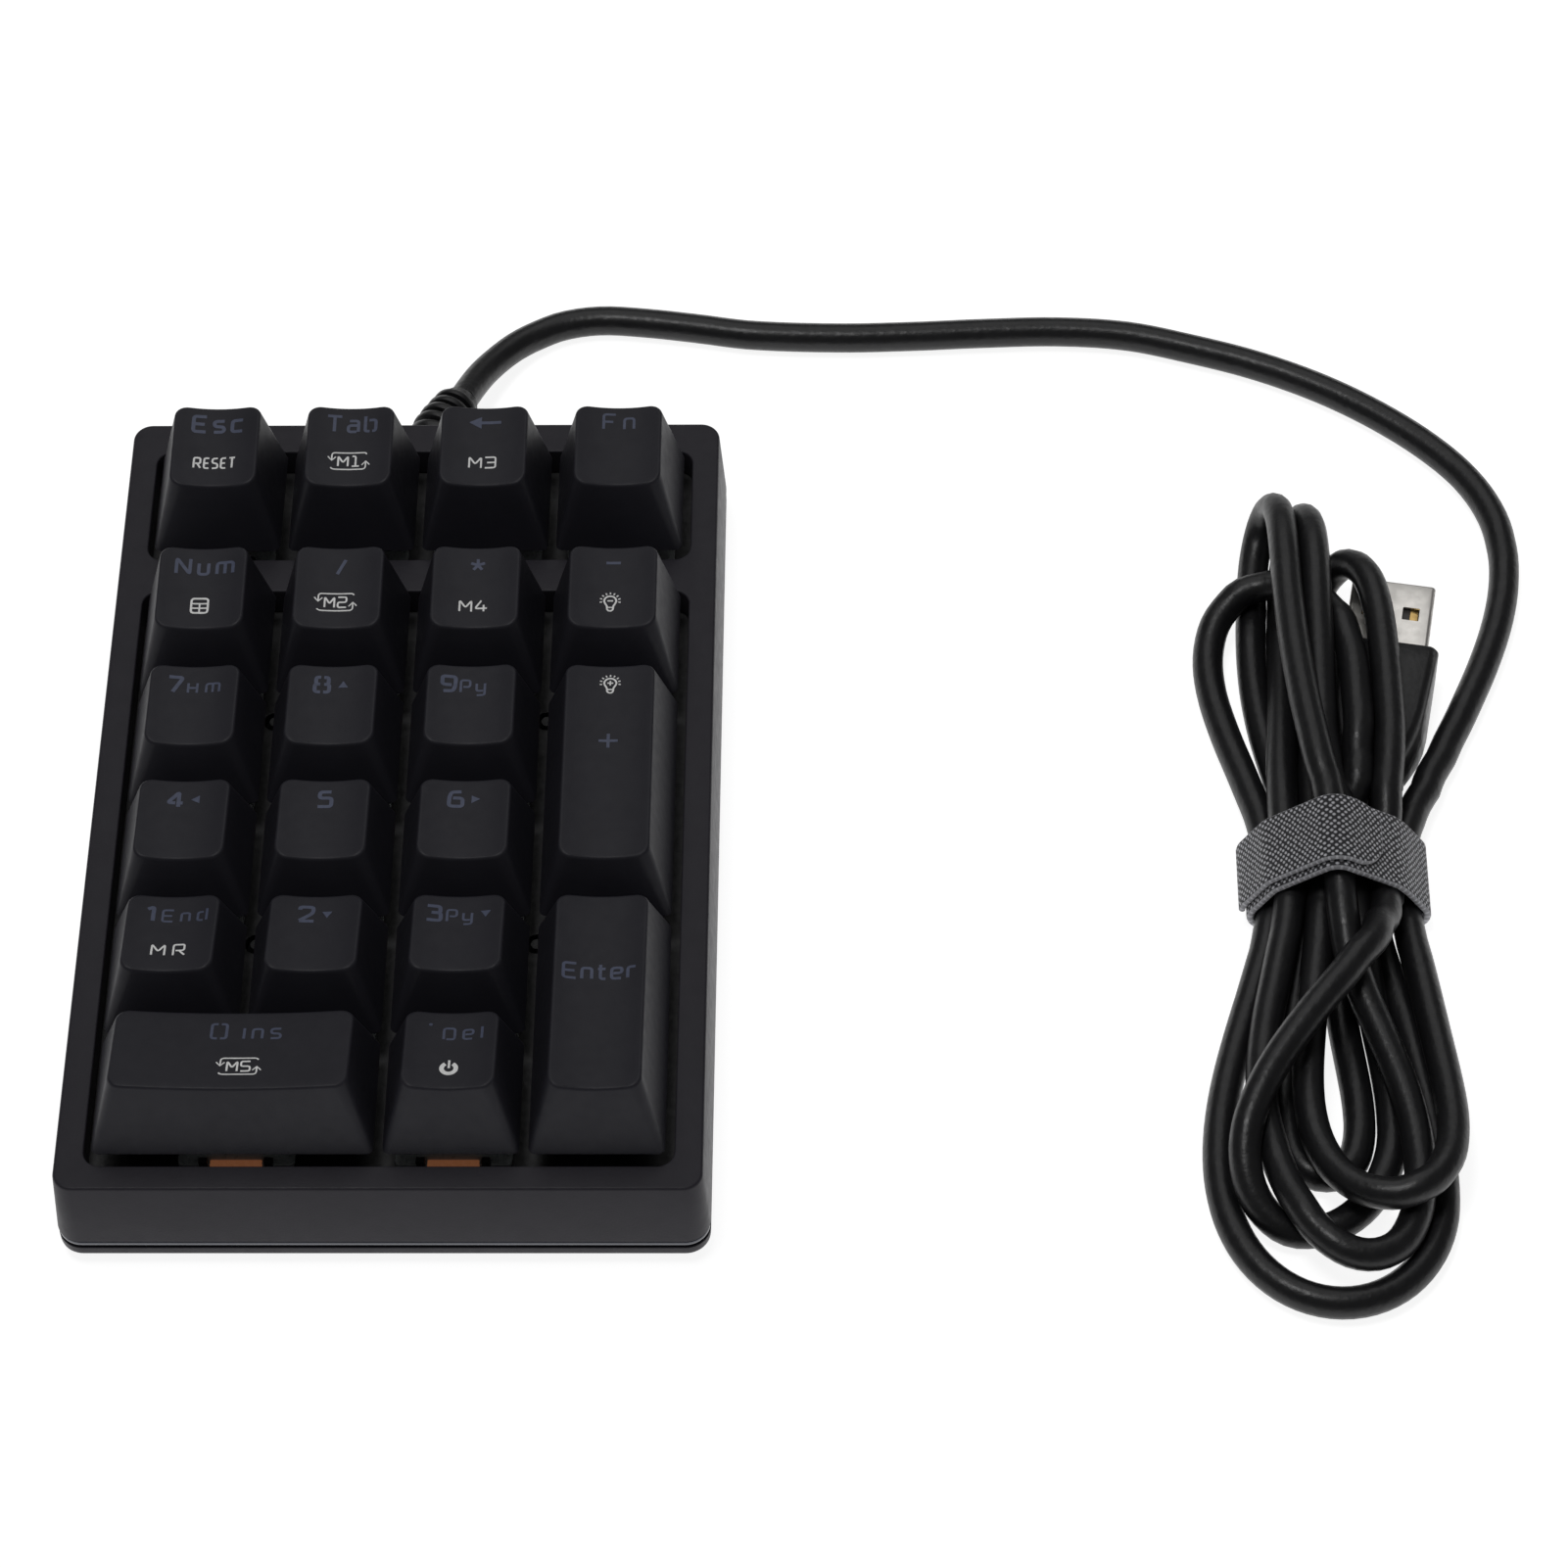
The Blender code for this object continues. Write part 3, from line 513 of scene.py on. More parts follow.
def shell_mesh():
    """The folded steel shell, open at its tip."""
    return plug_mesh("shell", loft(plug_rings((
        (0.0126, 0.0060, 0.00225, 0.0006), (0.0003, 0.0060, 0.00225, 0.0006),
        (0.0001, 0.00593, 0.00218, 0.00055), (0.0, 0.00584, 0.00209, 0.0005),
        (0.0001, 0.00573, 0.00198, 0.00045), (0.0003, 0.0057, 0.00195, 0.0004),
        (0.0122, 0.0057, 0.00195, 0.0004),
    ))))


def shell_openings():
    """Cutters for the two windows of the shell's upper side, its notch, and the seam below."""
    bm = bmesh.new()
    for x in (-0.0029, 0.0029):
        add_block(bm, (x - 0.0012, -0.0067, 0.0017), (x + 0.0012, -0.0044, 0.0027), 0.00015)
    add_block(bm, (-0.0008, -0.0088, 0.0017), (0.0010, -0.0083, 0.0027), 0.00015)
    add_block(bm, (-0.00008, -0.0115, -0.0027), (0.00008, -0.0009, -0.0017), 0.00003)
    bm.transform(PLUG_FRAME)
    return bm


def tongue_mesh():
    """The plastic insert and its four contacts."""
    bm = bmesh.new()
    add_block(bm, (-0.0054, -0.0121, -0.00015), (0.0054, -0.0006, 0.00155), 0.0002, 0)
    for x in (-0.0035, -0.0012, 0.0012, 0.0035):
        add_block(bm, (x - 0.0005, -0.0090, -0.00025), (x + 0.0005, -0.0012, -0.00005), 0.00008, 1)
    for x in (-0.0034, 0.0034):
        add_block(bm, (x - 0.0006, -0.0073, 0.0015), (x + 0.0006, -0.0038, 0.00172), 0.00008, 1)
    return plug_mesh("tongue", bm)


def around_strands(gap, spacing):
    """A loop drawn tight round the strands in the strap, as (x, z) from the right, anticlockwise."""
    line = settled_lead()
    held = line[(line[:, 1] > STRAP_FRONT - STRAP_REACH) & (line[:, 1] < STRAP_BACK + STRAP_REACH)]
    held = held[held[:, 0] < RUN_SIDE][:, (0, 2)]
    angles = np.linspace(0.0, 2 * pi, 360, endpoint=False)
    outward = np.stack([np.cos(angles), np.sin(angles)], axis=1)
    hull = held[np.argmax(held @ outward.T, axis=0)] + outward * (CORD_DIAMETER / 2 + gap)
    for _ in range(14):
        hull = (hull + np.roll(hull, 1, axis=0) + np.roll(hull, -1, axis=0)) / 3
    return evenly_spaced(np.vstack([hull, hull[:1]]), spacing)


def webbing(name, loop, fronts, backs, thickness, closed):
    """Woven strap along a loop of (x, z) points, with its own length and width as texture coordinates."""
    bm = bmesh.new()
    edge = bm.verts.layers.float.new("edge")
    places = loop[:-1] if closed else loop
    ahead = np.roll(places, -1, axis=0) - np.roll(places, 1, axis=0)
    if not closed:
        ahead[0], ahead[-1] = places[1] - places[0], places[-1] - places[-2]
    outward = np.stack([ahead[:, 1], -ahead[:, 0]], axis=1) / np.linalg.norm(ahead, axis=1)[:, None]
    rings = []
    for place, normal, front, back in zip(places, outward, fronts, backs):
        section = rounded_outline((front, 0.0), (back, thickness), 0.0004, 3, 10, 1)
        rings.append([
            Vector((place[0] + normal[0] * spot.y, spot.x, place[1] + normal[1] * spot.y))
            for spot in section
        ])
    made = add_loft(bm, rings, not closed, not closed, around=closed)
    spacing = float(np.linalg.norm(loop[1] - loop[0]))
    stations = {vert: number for number, ring in enumerate(made) for vert in ring}
    for number, (ring, front, back) in enumerate(zip(made, fronts, backs)):
        for vert in ring:
            at_side = vert.co.y < front + 0.00025 or vert.co.y > back - 0.00025
            vert[edge] = 1.0 if at_side or (not closed and number == 0) else 0.0
    layer = bm.loops.layers.uv.new("weave")
    for face in bm.faces:
        numbers = [stations[corner.vert] for corner in face.loops]
        for corner, number in zip(face.loops, numbers):
            if max(numbers) - number > len(rings) / 2:
                number += len(rings)
            corner[layer].uv = (number * spacing, corner.vert.co.y - min(fronts))
    return mesh_from(name, bm)


def band_mesh():
    loop = around_strands(0.00008, 0.0005)
    count = len(loop)
    return webbing("band", loop, [STRAP_FRONT] * count, [STRAP_BACK] * count, STRAP_THICKNESS, True)


def flap_mesh():
    """The strap's free end, which lies over the loop from the left and ends in a round tip."""
    loop = around_strands(STRAP_THICKNESS + 0.0002, FLAP_SPACING)
    across, height = loop[:, 0], loop[:, 1]
    on_top = (across < FLAP_END) & (height > 0.006)
    on_left = across < across.mean()
    over = loop[(height > FLAP_LOW) & (on_top | on_left)]
    to_end = np.arange(len(over)) * FLAP_SPACING
    past = np.clip(1.0 - to_end / FLAP_ROUND, 0.0, 0.985)
    narrower = FLAP_ROUND * (1.0 - np.sqrt(1.0 - past ** 2))
    fronts = FLAP_FRONT + narrower * 0.9
    backs = FLAP_BACK - narrower * 0.7
    return webbing("flap", over, fronts, backs, FLAP_THICKNESS, False)


# ---------------------------------------------------------------- keycaps

# The keys of each row, the height of their tops above the skirt, and how far those tops lean away
# from the user, in degrees.
KEY_ROWS = (
    (("esc", "tab", "backspace", "fn"), 0.01135, -3.0),
    (("num_lock", "divide", "multiply", "minus"), 0.0113, -2.3),
    (("7", "8", "9"), 0.00935, 1.7),
    (("plus",), 0.0092, 0.6),
    (("4", "5", "6"), 0.00875, 4.5),
    (("1", "2", "3"), 0.00905, 10.3),
    (("enter",), 0.00935, 5.5),
    (("0", "decimal"), 0.00955, 12.0),
)
CAP_WALL = 0.0013
CAP_ROOF = 0.0015
POST_RADIUS = 0.0028
POST_DROP = 0.0017                 # a post starts this far above the skirt's lower edge
STABILISER_OFFSET = 0.0119
TWO_CELLS = 0.030                  # a keycap longer than this covers two cells


class Cap:
    """The outside of one keycap. Its origin is in the middle of its lower edge, on its switch's axis."""

    def __init__(self, name, height, lean):
        low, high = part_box(f"keycap_{name}")
        self.place = Vector(((low.x + high.x) / 2, (low.y + high.y) / 2, low.z))
        self.base = Vector((high.x - low.x, high.y - low.y)) / 2
        self.top = self.base - Vector((sizes().top_inset_x, sizes().top_inset_y))
        self.height = height
        self.slope = tan(radians(lean))
        self.shift = sizes().top_shift
        self.dish = sizes().dish_depth
        self.wide = self.base.x * 2 > TWO_CELLS
        self.deep = self.base.y * 2 > TWO_CELLS

    def surface(self, x, y):
        """The height of the dished, leaning top over a point."""
        across = min(1.0, abs(x) / self.top.x)
        return self.height - (y - self.shift) * self.slope - self.dish * (1 - across * across)

    def outline(self, half, shift, radius):
        return rounded_outline(
            (-half.x, shift - half.y), (half.x, shift + half.y), radius, 7, 20 if self.wide else 10,
            16 if self.deep else 6,
        )

    def on_top(self, outline):
        return [Vector((point.x, point.y, self.surface(point.x, point.y))) for point in outline]

    def mesh(self):
        bm = bmesh.new()
        edge = sizes().cap_edge
        corner = sizes().cap_corner
        base = at_height(self.outline(self.base, 0.0, 0.0009), 0.0)
        top = self.on_top(self.outline(self.top, self.shift, corner))
        inner_top = self.outline(self.top - Vector((edge, edge)), self.shift, corner - edge * 0.8)
        lip = 0.00028
        wall = self.base - Vector((CAP_WALL, CAP_WALL))
        roof = self.height - self.dish - self.top.y * abs(self.slope) - CAP_ROOF
        share = roof / self.height
        under = wall - Vector((sizes().top_inset_x, sizes().top_inset_y)) * share
        rings = [
            at_height(self.outline(under, self.shift * share, 0.0009), roof),
            at_height(self.outline(wall, 0.0, 0.0005), lip),
            at_height(self.outline(wall + Vector((lip, lip)), 0.0, 0.0005), 0.0),
            at_height(self.outline(self.base - Vector((lip, lip)), 0.0, 0.0007), 0.0),
        ]
        rise = edge / self.height
        shares = (lip / self.height, 0.35, 0.7, 1 - rise)
        rings += [[a.lerp(b, t) for a, b in zip(base, top)] for t in shares]
        start = rings[-1]
        crown = self.on_top(inner_top)
        for step in range(1, 6):
            t = step / 6
            rings.append([
                a * (1 - t) ** 2 + b * (2 * t * (1 - t)) + c * t ** 2 for a, b, c in zip(start, top, crown)
            ])
        centre = Vector((0.0, self.shift))
        for scale in (1.0, 0.88, 0.74, 0.6, 0.46, 0.32, 0.18, 0.06):
            rings.append(self.on_top([centre + (point - centre) * scale for point in inner_top]))
        made = add_loft(bm, rings, close_start=True)
        middle = bm.verts.new((0.0, self.shift, self.surface(0.0, self.shift)))
        last = made[-1]
        for i, vert in enumerate(last):
            bm.faces.new((vert, last[(i + 1) % len(last)], middle))
        for x, y in post_places(self.wide, self.deep):
            add_post(bm, x, y, POST_DROP, roof + CAP_ROOF * 0.3)
        return mesh_from("keycap", bm, 40)


def post_places(wide, deep):
    """The posts under a keycap: one for its switch, and two for the stabiliser of a two-cell key."""
    places = [(0.0, 0.0)]
    if wide:
        places += [(-STABILISER_OFFSET, 0.0), (STABILISER_OFFSET, 0.0)]
    if deep:
        places += [(0.0, -STABILISER_OFFSET), (0.0, STABILISER_OFFSET)]
    return places


def cross_outline(x, y, half_length, half_width):
    """The outline of a plus sign, anticlockwise."""
    a, b = half_length, half_width
    corners = (
        (a, -b), (a, b), (b, b), (b, a), (-b, a), (-b, b),
        (-a, b), (-a, -b), (-b, -b), (-b, -a), (b, -a), (b, -b),
    )
    return [Vector((x + dx, y + dy)) for dx, dy in corners]


def add_post(bm, x, y, bottom, top):
    """A round post with a cross-shaped socket in its lower end."""
    socket_depth = 0.0036
    outer = add_loft(bm, [
        at_height(circle_outline(x, y, POST_RADIUS, 24), top),
        at_height(circle_outline(x, y, POST_RADIUS, 24), bottom + 0.0002),
        at_height(circle_outline(x, y, POST_RADIUS - 0.0002, 24), bottom),
    ], close_start=True)
    socket = cross_outline(x, y, 0.0021, 0.00065)
    levels = [at_height(socket, z) for z in (bottom, bottom + socket_depth)]
    inner = add_loft(bm, levels, close_end=True)
    rims = [outer[-1], inner[0]]
    edges = [bm.edges.get((rim[i], rim[(i + 1) % len(rim)])) for rim in rims for i in range(len(rim))]
    bmesh.ops.triangle_fill(bm, edges=edges, use_beauty=True)


def caps():
    """The shape of each keycap, by name."""
    return {name: Cap(name, height, lean) for names, height, lean in KEY_ROWS for name in names}


def keycap_plastic():
    return moulded("moulded_keycap", look().keycap_colour, 0.44, 0.00022, 0.000012, Specular_IOR_Level=0.20)


# ---------------------------------------------------------------- legends

# Strokes of each character, on a grid where a capital is 1 high. Bowls have the small gaps of a
# stencil, because these legends are moulded through the cap.
STROKES = {
    "0": [[(.30, 1), (0, 1), (0, 0), (.30, 0)], [(.46, 1), (.76, 1), (.76, 0), (.46, 0)]],
    "1": [[(0, .80), (.30, 1), (.30, 0)]],
    "2": [[(0, .80), (0, 1), (.68, 1), (.68, .58), (0, .02)], [(0, 0), (.74, 0)]],
    "3": [[(0, 1), (.66, 1), (.66, .54), (.22, .54)], [(.22, .54), (.70, .54), (.70, 0), (0, 0)]],
    "4": [[(.56, 0), (.56, 1), (0, .26), (.40, .26)], [(.56, .26), (.78, .26)]],
    "5": [[(.66, 1), (.08, 1), (.06, .58), (.70, .58), (.70, 0), (0, 0)]],
    "6": [[(.62, 1), (.10, .96), (0, .56), (0, 0), (.70, 0), (.70, .56), (.20, .56)]],
    "7": [[(0, 1), (.74, 1), (.24, 0)]],
    "8": [[(.30, 1), (.05, 1), (.05, .53), (.28, .53)], [(.28, .53), (0, .53), (0, 0), (.30, 0)],
          [(.46, 1), (.71, 1), (.71, .53), (.48, .53)], [(.48, .53), (.76, .53), (.76, 0), (.46, 0)]],
    "9": [[(.08, 0), (.60, .04), (.70, .44), (.70, 1), (0, 1), (0, .44), (.50, .44)]],
    "E": [[(.66, 1), (0, 1), (0, 0), (.66, 0)], [(0, .5), (.58, .5)]],
    "s": [[(.52, .72), (0, .72), (0, .38), (.52, .34), (.52, 0), (0, 0)]],
    "c": [[(.54, .72), (0, .72), (0, 0), (.54, 0)]],
    "T": [[(0, 1), (.74, 1)], [(.37, 1), (.37, 0)]],
    "a": [[(.06, .72), (.54, .72), (.54, 0)], [(.46, .42), (0, .42), (0, 0), (.44, 0)]],
    "b": [[(0, 1), (0, 0), (.24, 0)], [(.20, .72), (.56, .72), (.56, 0), (.38, 0)]],
    "F": [[(.64, 1), (0, 1), (0, 0)], [(0, .5), (.52, .5)]],
    "n": [[(0, 0), (0, .72), (.52, .72), (.52, 0)]],
    "N": [[(0, 0), (0, 1), (.72, 0), (.72, 1)]],
    "u": [[(0, .72), (0, 0), (.52, 0), (.52, .72)]],
    "m": [[(0, 0), (0, .72), (.86, .72), (.86, 0)], [(.43, .72), (.43, 0)]],
    "H": [[(0, 0), (0, .8)], [(.58, 0), (.58, .8)], [(0, .4), (.58, .4)]],
    "P": [[(0, 0), (0, 1), (.60, 1), (.60, .44), (.16, .44)]],
    "g": [[(0, .72), (0, .10), (.44, .10)], [(.54, .72), (.54, -.26), (.04, -.26)]],
    "d": [[(.34, .72), (0, .72), (0, 0), (.34, 0)], [(.56, 1), (.56, 0)]],
    "I": [[(0, 0), (0, .8)]],
    "D": [[(.16, 0), (.62, 0), (.62, .86), (0, .86), (0, 0)]],
    "e": [[(.10, .36), (.54, .36), (.54, .72), (0, .72), (0, 0), (.50, 0)]],
    "l": [[(0, 0), (0, .9)]],
    "t": [[(.14, .96), (.14, 0), (.42, 0)], [(0, .68), (.40, .68)]],
    "r": [[(0, 0), (0, .72), (.40, .72)]],
    "/": [[(0, 0), (.44, 1)]],
    "*": [[(.4, .5), (.4 + .46 * cos(radians(a)), .5 + .46 * sin(radians(a)))]
          for a in (90, 18, 162, -54, -126)],
    "-": [[(0, .5), (.80, .5)]],
    "+": [[(0, .5), (1.04, .5)], [(.52, .98), (.52, .02)]],
}
# The plainer characters of the small white marks.
MARKS = {
    "M": [[(0, 0), (0, 1), (.45, .36), (.90, 1), (.90, 0)]],
    "1": [[(.08, 1), (.40, 1), (.40, 0)], [(.06, 0), (.74, 0)]],
    "2": [[(0, 1), (.80, 1), (.80, .5), (0, .5), (0, 0), (.80, 0)]],
    "3": [[(0, 1), (.80, 1), (.80, 0), (0, 0)], [(.16, .5), (.80, .5)]],
    "4": [[(.46, 1), (0, .28), (.92, .28)], [(.66, .60), (.66, 0)]],
    "5": [[(.80, 1), (0, 1), (0, .5), (.80, .5), (.80, 0), (0, 0)]],
    "R": [[(0, 0), (0, 1), (.76, 1), (.76, .44), (.16, .44)], [(.40, .44), (.80, 0)]],
    "E": [[(.56, 1), (0, 1), (0, 0), (.56, 0)], [(0, .5), (.50, .5)]],
    "S": [[(.60, 1), (0, .96), (0, .54), (.62, .46), (.62, .02), (0, 0)]],
    "T": [[(0, 1), (.66, 1)], [(.33, 1), (.33, 0)]],
}
MM = 0.001


class Drawing:
    """Strokes and filled shapes for one keycap, in millimetres from the middle of its top."""

    def __init__(self):
        self.strokes = []          # (points, width, corner radius, ink)
        self.areas = []            # (points, ink)

    def word(self, text, x, y, height, width=None, weight=0.17, ink=0):
        """Characters centred on a place. A width spreads them to fill it."""
        table = MARKS if ink else STROKES
        glyphs = [table[letter] for letter in text]
        own = [max(px for line in glyph for px, py in line) * height for glyph in glyphs]
        gap = 0.28 * height
        squeeze = 1.0
        if width and len(own) > 1:
            squeeze = min(1.0, (width - gap * (len(own) - 1)) / sum(own))
            gap = (width - sum(own) * squeeze) / (len(own) - 1)
        own = [across * squeeze for across in own]
        left = x - (sum(own) + gap * (len(own) - 1)) / 2
        for glyph, across in zip(glyphs, own):
            for line in glyph:
                points = [
                    (left + px * squeeze * height, y + (py - 0.5) * height) for px, py in line
                ]
                self.strokes.append((points, weight * height, 0.17 * height, ink))
            left += across + gap

    def line(self, points, width, corner=0.0, ink=1):
        self.strokes.append((points, width, corner, ink))

    def triangle(self, x, y, size, turn):
        """A filled arrowhead that points up, turned anticlockwise in degrees."""
        corners = []
        for angle, reach in ((90, 0.60), (215, 0.72), (325, 0.72)):
            a = radians(angle + turn)
            corners.append((x + size * reach * cos(a), y + size * reach * sin(a)))
        self.areas.append((corners, 0))

    def arc(self, x, y, radius, start, end, width, steps=24, ink=1):
        angles = [radians(start + (end - start) * i / steps) for i in range(steps + 1)]
        self.line([(x + radius * cos(a), y + radius * sin(a)) for a in angles], width, 0.0, ink)

    def looped(self, text, x, y):
        """A mark between two arrows that go round it."""
        self.word(text, x, y, 1.75, 3.0, 0.15, 1)
        for way in (1, -1):
            frame_line = [(-2.42, 0.20), (-2.42, 1.46), (2.30, 1.46), (2.52, 1.16)]
            head = [(-2.98, 0.74), (-2.42, 0.06), (-1.86, 0.74)]
            self.line([(x + way * px, y + way * py) for px, py in frame_line], 0.21, 0.5)
            self.line([(x + way * px, y + way * py) for px, py in head], 0.17)

    def lamp(self, x, y, brighter):
        """A bulb with rays, holding a plus or a minus."""
        self.line([(x - 0.42, y - 1.20), (x - 0.42, y - 0.80), (x - 0.80, y - 0.10)], 0.26, 0.2)
        self.line([(x + 0.42, y - 1.20), (x + 0.42, y - 0.80), (x + 0.80, y - 0.10)], 0.26, 0.2)
        self.arc(x, y + 0.12, 0.83, -15, 195, 0.26)
        self.line([(x - 0.42, y - 0.98), (x + 0.42, y - 0.98)], 0.20)
        self.arc(x, y - 1.16, 0.42, 180, 360, 0.24, 8)
        self.line([(x - 0.40, y + 0.15), (x + 0.40, y + 0.15)], 0.22)
        if brighter:
            self.line([(x, y + 0.55), (x, y - 0.25)], 0.22)
        for step in range(9):
            a = radians(-10 + 25 * step)
            spoke = [(x + r * cos(a), y + 0.12 + r * sin(a)) for r in (1.14, 1.46)]
            self.line(spoke, 0.20)

    def calculator(self, x, y):
        corners = ((0, 1), (1, 1), (1, -1), (-1, -1), (-1, 1), (0, 1))
        box = [(x + 1.15 * a, y + 1.22 * b) for a, b in corners]
        self.line(box, 0.30, 0.45)
        for down in (0.35, -0.42):
            self.line([(x - 1.1, y + down), (x + 1.1, y + down)], 0.24)
        self.line([(x, y + 0.35), (x, y - 1.2)], 0.24)

    def power(self, x, y):
        self.arc(x, y - 0.1, 0.93, 122, 418, 0.60, 32)
        self.line([(x, y + 1.35), (x, y - 0.05)], 0.30)

    def digit_legend(self, name):
        """A digit with its arrow or its second function."""
        places = {
            "7": -2.6, "8": -1.5, "9": -3.1,
            "4": -1.2, "5": 0.0, "6": -1.3,
            "1": -3.0, "2": -1.2, "3": -3.3,
        }
        self.word(name, places[name], 3.55, 2.6, None, 0.21)
        arrows = {"8": (1.4, 0), "4": (1.6, 90), "6": (1.3, -90), "2": (1.5, 180), "3": (3.6, 180)}
        if name in arrows:
            x, turn = arrows[name]
            self.triangle(x, 3.5, 1.15, turn)
        words = {
            "7": ("Hm", 1.3, 4.3), "9": ("Pg", 0.2, 3.3), "1": ("End", 1.6, 5.9), "3": ("Pg", 0.1, 3.3),
        }
        if name in words:
            text, x, width = words[name]
            self.word(text, x, 3.25, 2.1, width, 0.16)
        if name == "1":
            self.word("MR", 0.0, -3.1, 1.9, 4.4, 0.14, 1)

    def mesh(self, cap):
        """Thin ink that follows the dished top."""
        bm = bmesh.new()
        for points, width, corner, ink in self.strokes:
            path = [Vector(point) for point in points]
            if corner and len(path) > 2:
                path = rounded_corners(path, corner, 4)
            path = close_spaced(path, 0.45)
            left, right = [], []
            for i, spot in enumerate(path):
                along = (path[min(i + 1, len(path) - 1)] - path[max(i - 1, 0)]).normalized()
                side = Vector((-along.y, along.x)) * width / 2
                left.append(bm.verts.new(laid(cap, spot + side)))
                right.append(bm.verts.new(laid(cap, spot - side)))
            for i in range(len(path) - 1):
                bm.faces.new((right[i], right[i + 1], left[i + 1], left[i])).material_index = ink
        for points, ink in self.areas:
            corners = [bm.verts.new(laid(cap, Vector(point))) for point in points]
            bm.faces.new(corners).material_index = ink
        mesh = bpy.data.meshes.new("legend")
        bm.to_mesh(mesh)
        bm.free()
        return mesh


def laid(cap, point):
    """A point of a drawing, just above the keycap's top."""
    x, y = point.x * MM, point.y * MM + cap.shift
    return Vector((x, y, cap.surface(x, y) + 0.00002))


def close_spaced(path, most):
    """The path with extra points wherever two are further apart than that."""
    close = [path[0]]
    for a, b in zip(path, path[1:]):
        steps = max(1, int(np.ceil((b - a).length / most)))
        close += [a.lerp(b, step / steps) for step in range(1, steps + 1)]
    return close


def legend(name):
    """What is drawn on one keycap: its legend at the back, and its mark at the front."""
    ink = Drawing()
    if name == "esc":
        ink.word("Esc", 0.1, 4.0, 2.7, 7.0, 0.20)
        ink.word("RESET", 0.0, -2.9, 1.75, 5.8, 0.16, 1)
    elif name == "tab":
        ink.word("Tab", 0.1, 4.0, 2.7, 6.9, 0.17)
        ink.looped("M1", 0.0, -2.6)
    elif name == "backspace":
        ink.strokes.append(([(-0.6, 4.2), (2.3, 4.2)], 0.5, 0.0, 0))
        ink.triangle(-1.2, 4.2, 1.75, 90)
        ink.word("M3", -0.1, -2.9, 1.85, 3.7, 0.14, 1)
    elif name == "fn":
        ink.word("Fn", 0.0, 4.3, 2.6, 4.3, 0.15)
    elif name == "num_lock":
        ink.word("Num", 0.2, 3.7, 2.6, 7.9, 0.18)
        ink.calculator(-0.1, -3.05)
    elif name == "divide":
        ink.word("/", 0.2, 3.6, 2.45, None, 0.19)
        ink.looped("M2", -0.3, -2.5)
    elif name == "multiply":
        ink.word("*", 0.2, 3.9, 2.2, None, 0.20)
        ink.word("M4", -0.2, -3.2, 1.85, 3.8, 0.14, 1)
    elif name == "minus":
        ink.word("-", 0.0, 4.2, 2.5, None, 0.18)
        ink.lamp(-0.3, -2.5, False)
    elif name == "plus":
        ink.lamp(0.0, 13.3, True)
        ink.word("+", 0.0, 3.4, 2.5, None, 0.17)
    elif name == "enter":
        ink.word("Enter", 0.0, 3.3, 2.5, 9.5, 0.17)
    elif name == "0":
        ink.word("0", -1.9, 3.5, 2.6, None, 0.15)
        ink.word("Ins", 3.8, 3.35, 2.4, 4.8, 0.15)
        ink.looped("M5", 1.2, -2.9)
    elif name == "decimal":
        ink.arc(-2.8, 4.6, 0.12, 0, 360, 0.26, 12, 0)
        ink.word("Del", 1.5, 3.15, 2.3, 5.0, 0.15)
        ink.power(0.0, -3.2)
    else:
        ink.digit_legend(name)
    return ink


# ---------------------------------------------------------------- switches

PLATE_TOP = 0.012
SWITCH_SIDES = 0.0077              # half the width of a switch's flange
SWITCH_TOP = 0.0186


def switch_clear():
    finish = Finish("switch_clear", look().switch_colour, 0.3, Transmission_Weight=0.1, IOR=1.5)
    finish.rub(0.0008, 0.24, 0.38)
    return finish.material


def switch_black():
    return moulded("switch_black", (0.02, 0.02, 0.021), 0.5, 0.0003, 0.00001)


def stem_brown():
    return moulded("stem_brown", look().stem_colour, 0.38, 0.0003, 0.00001)


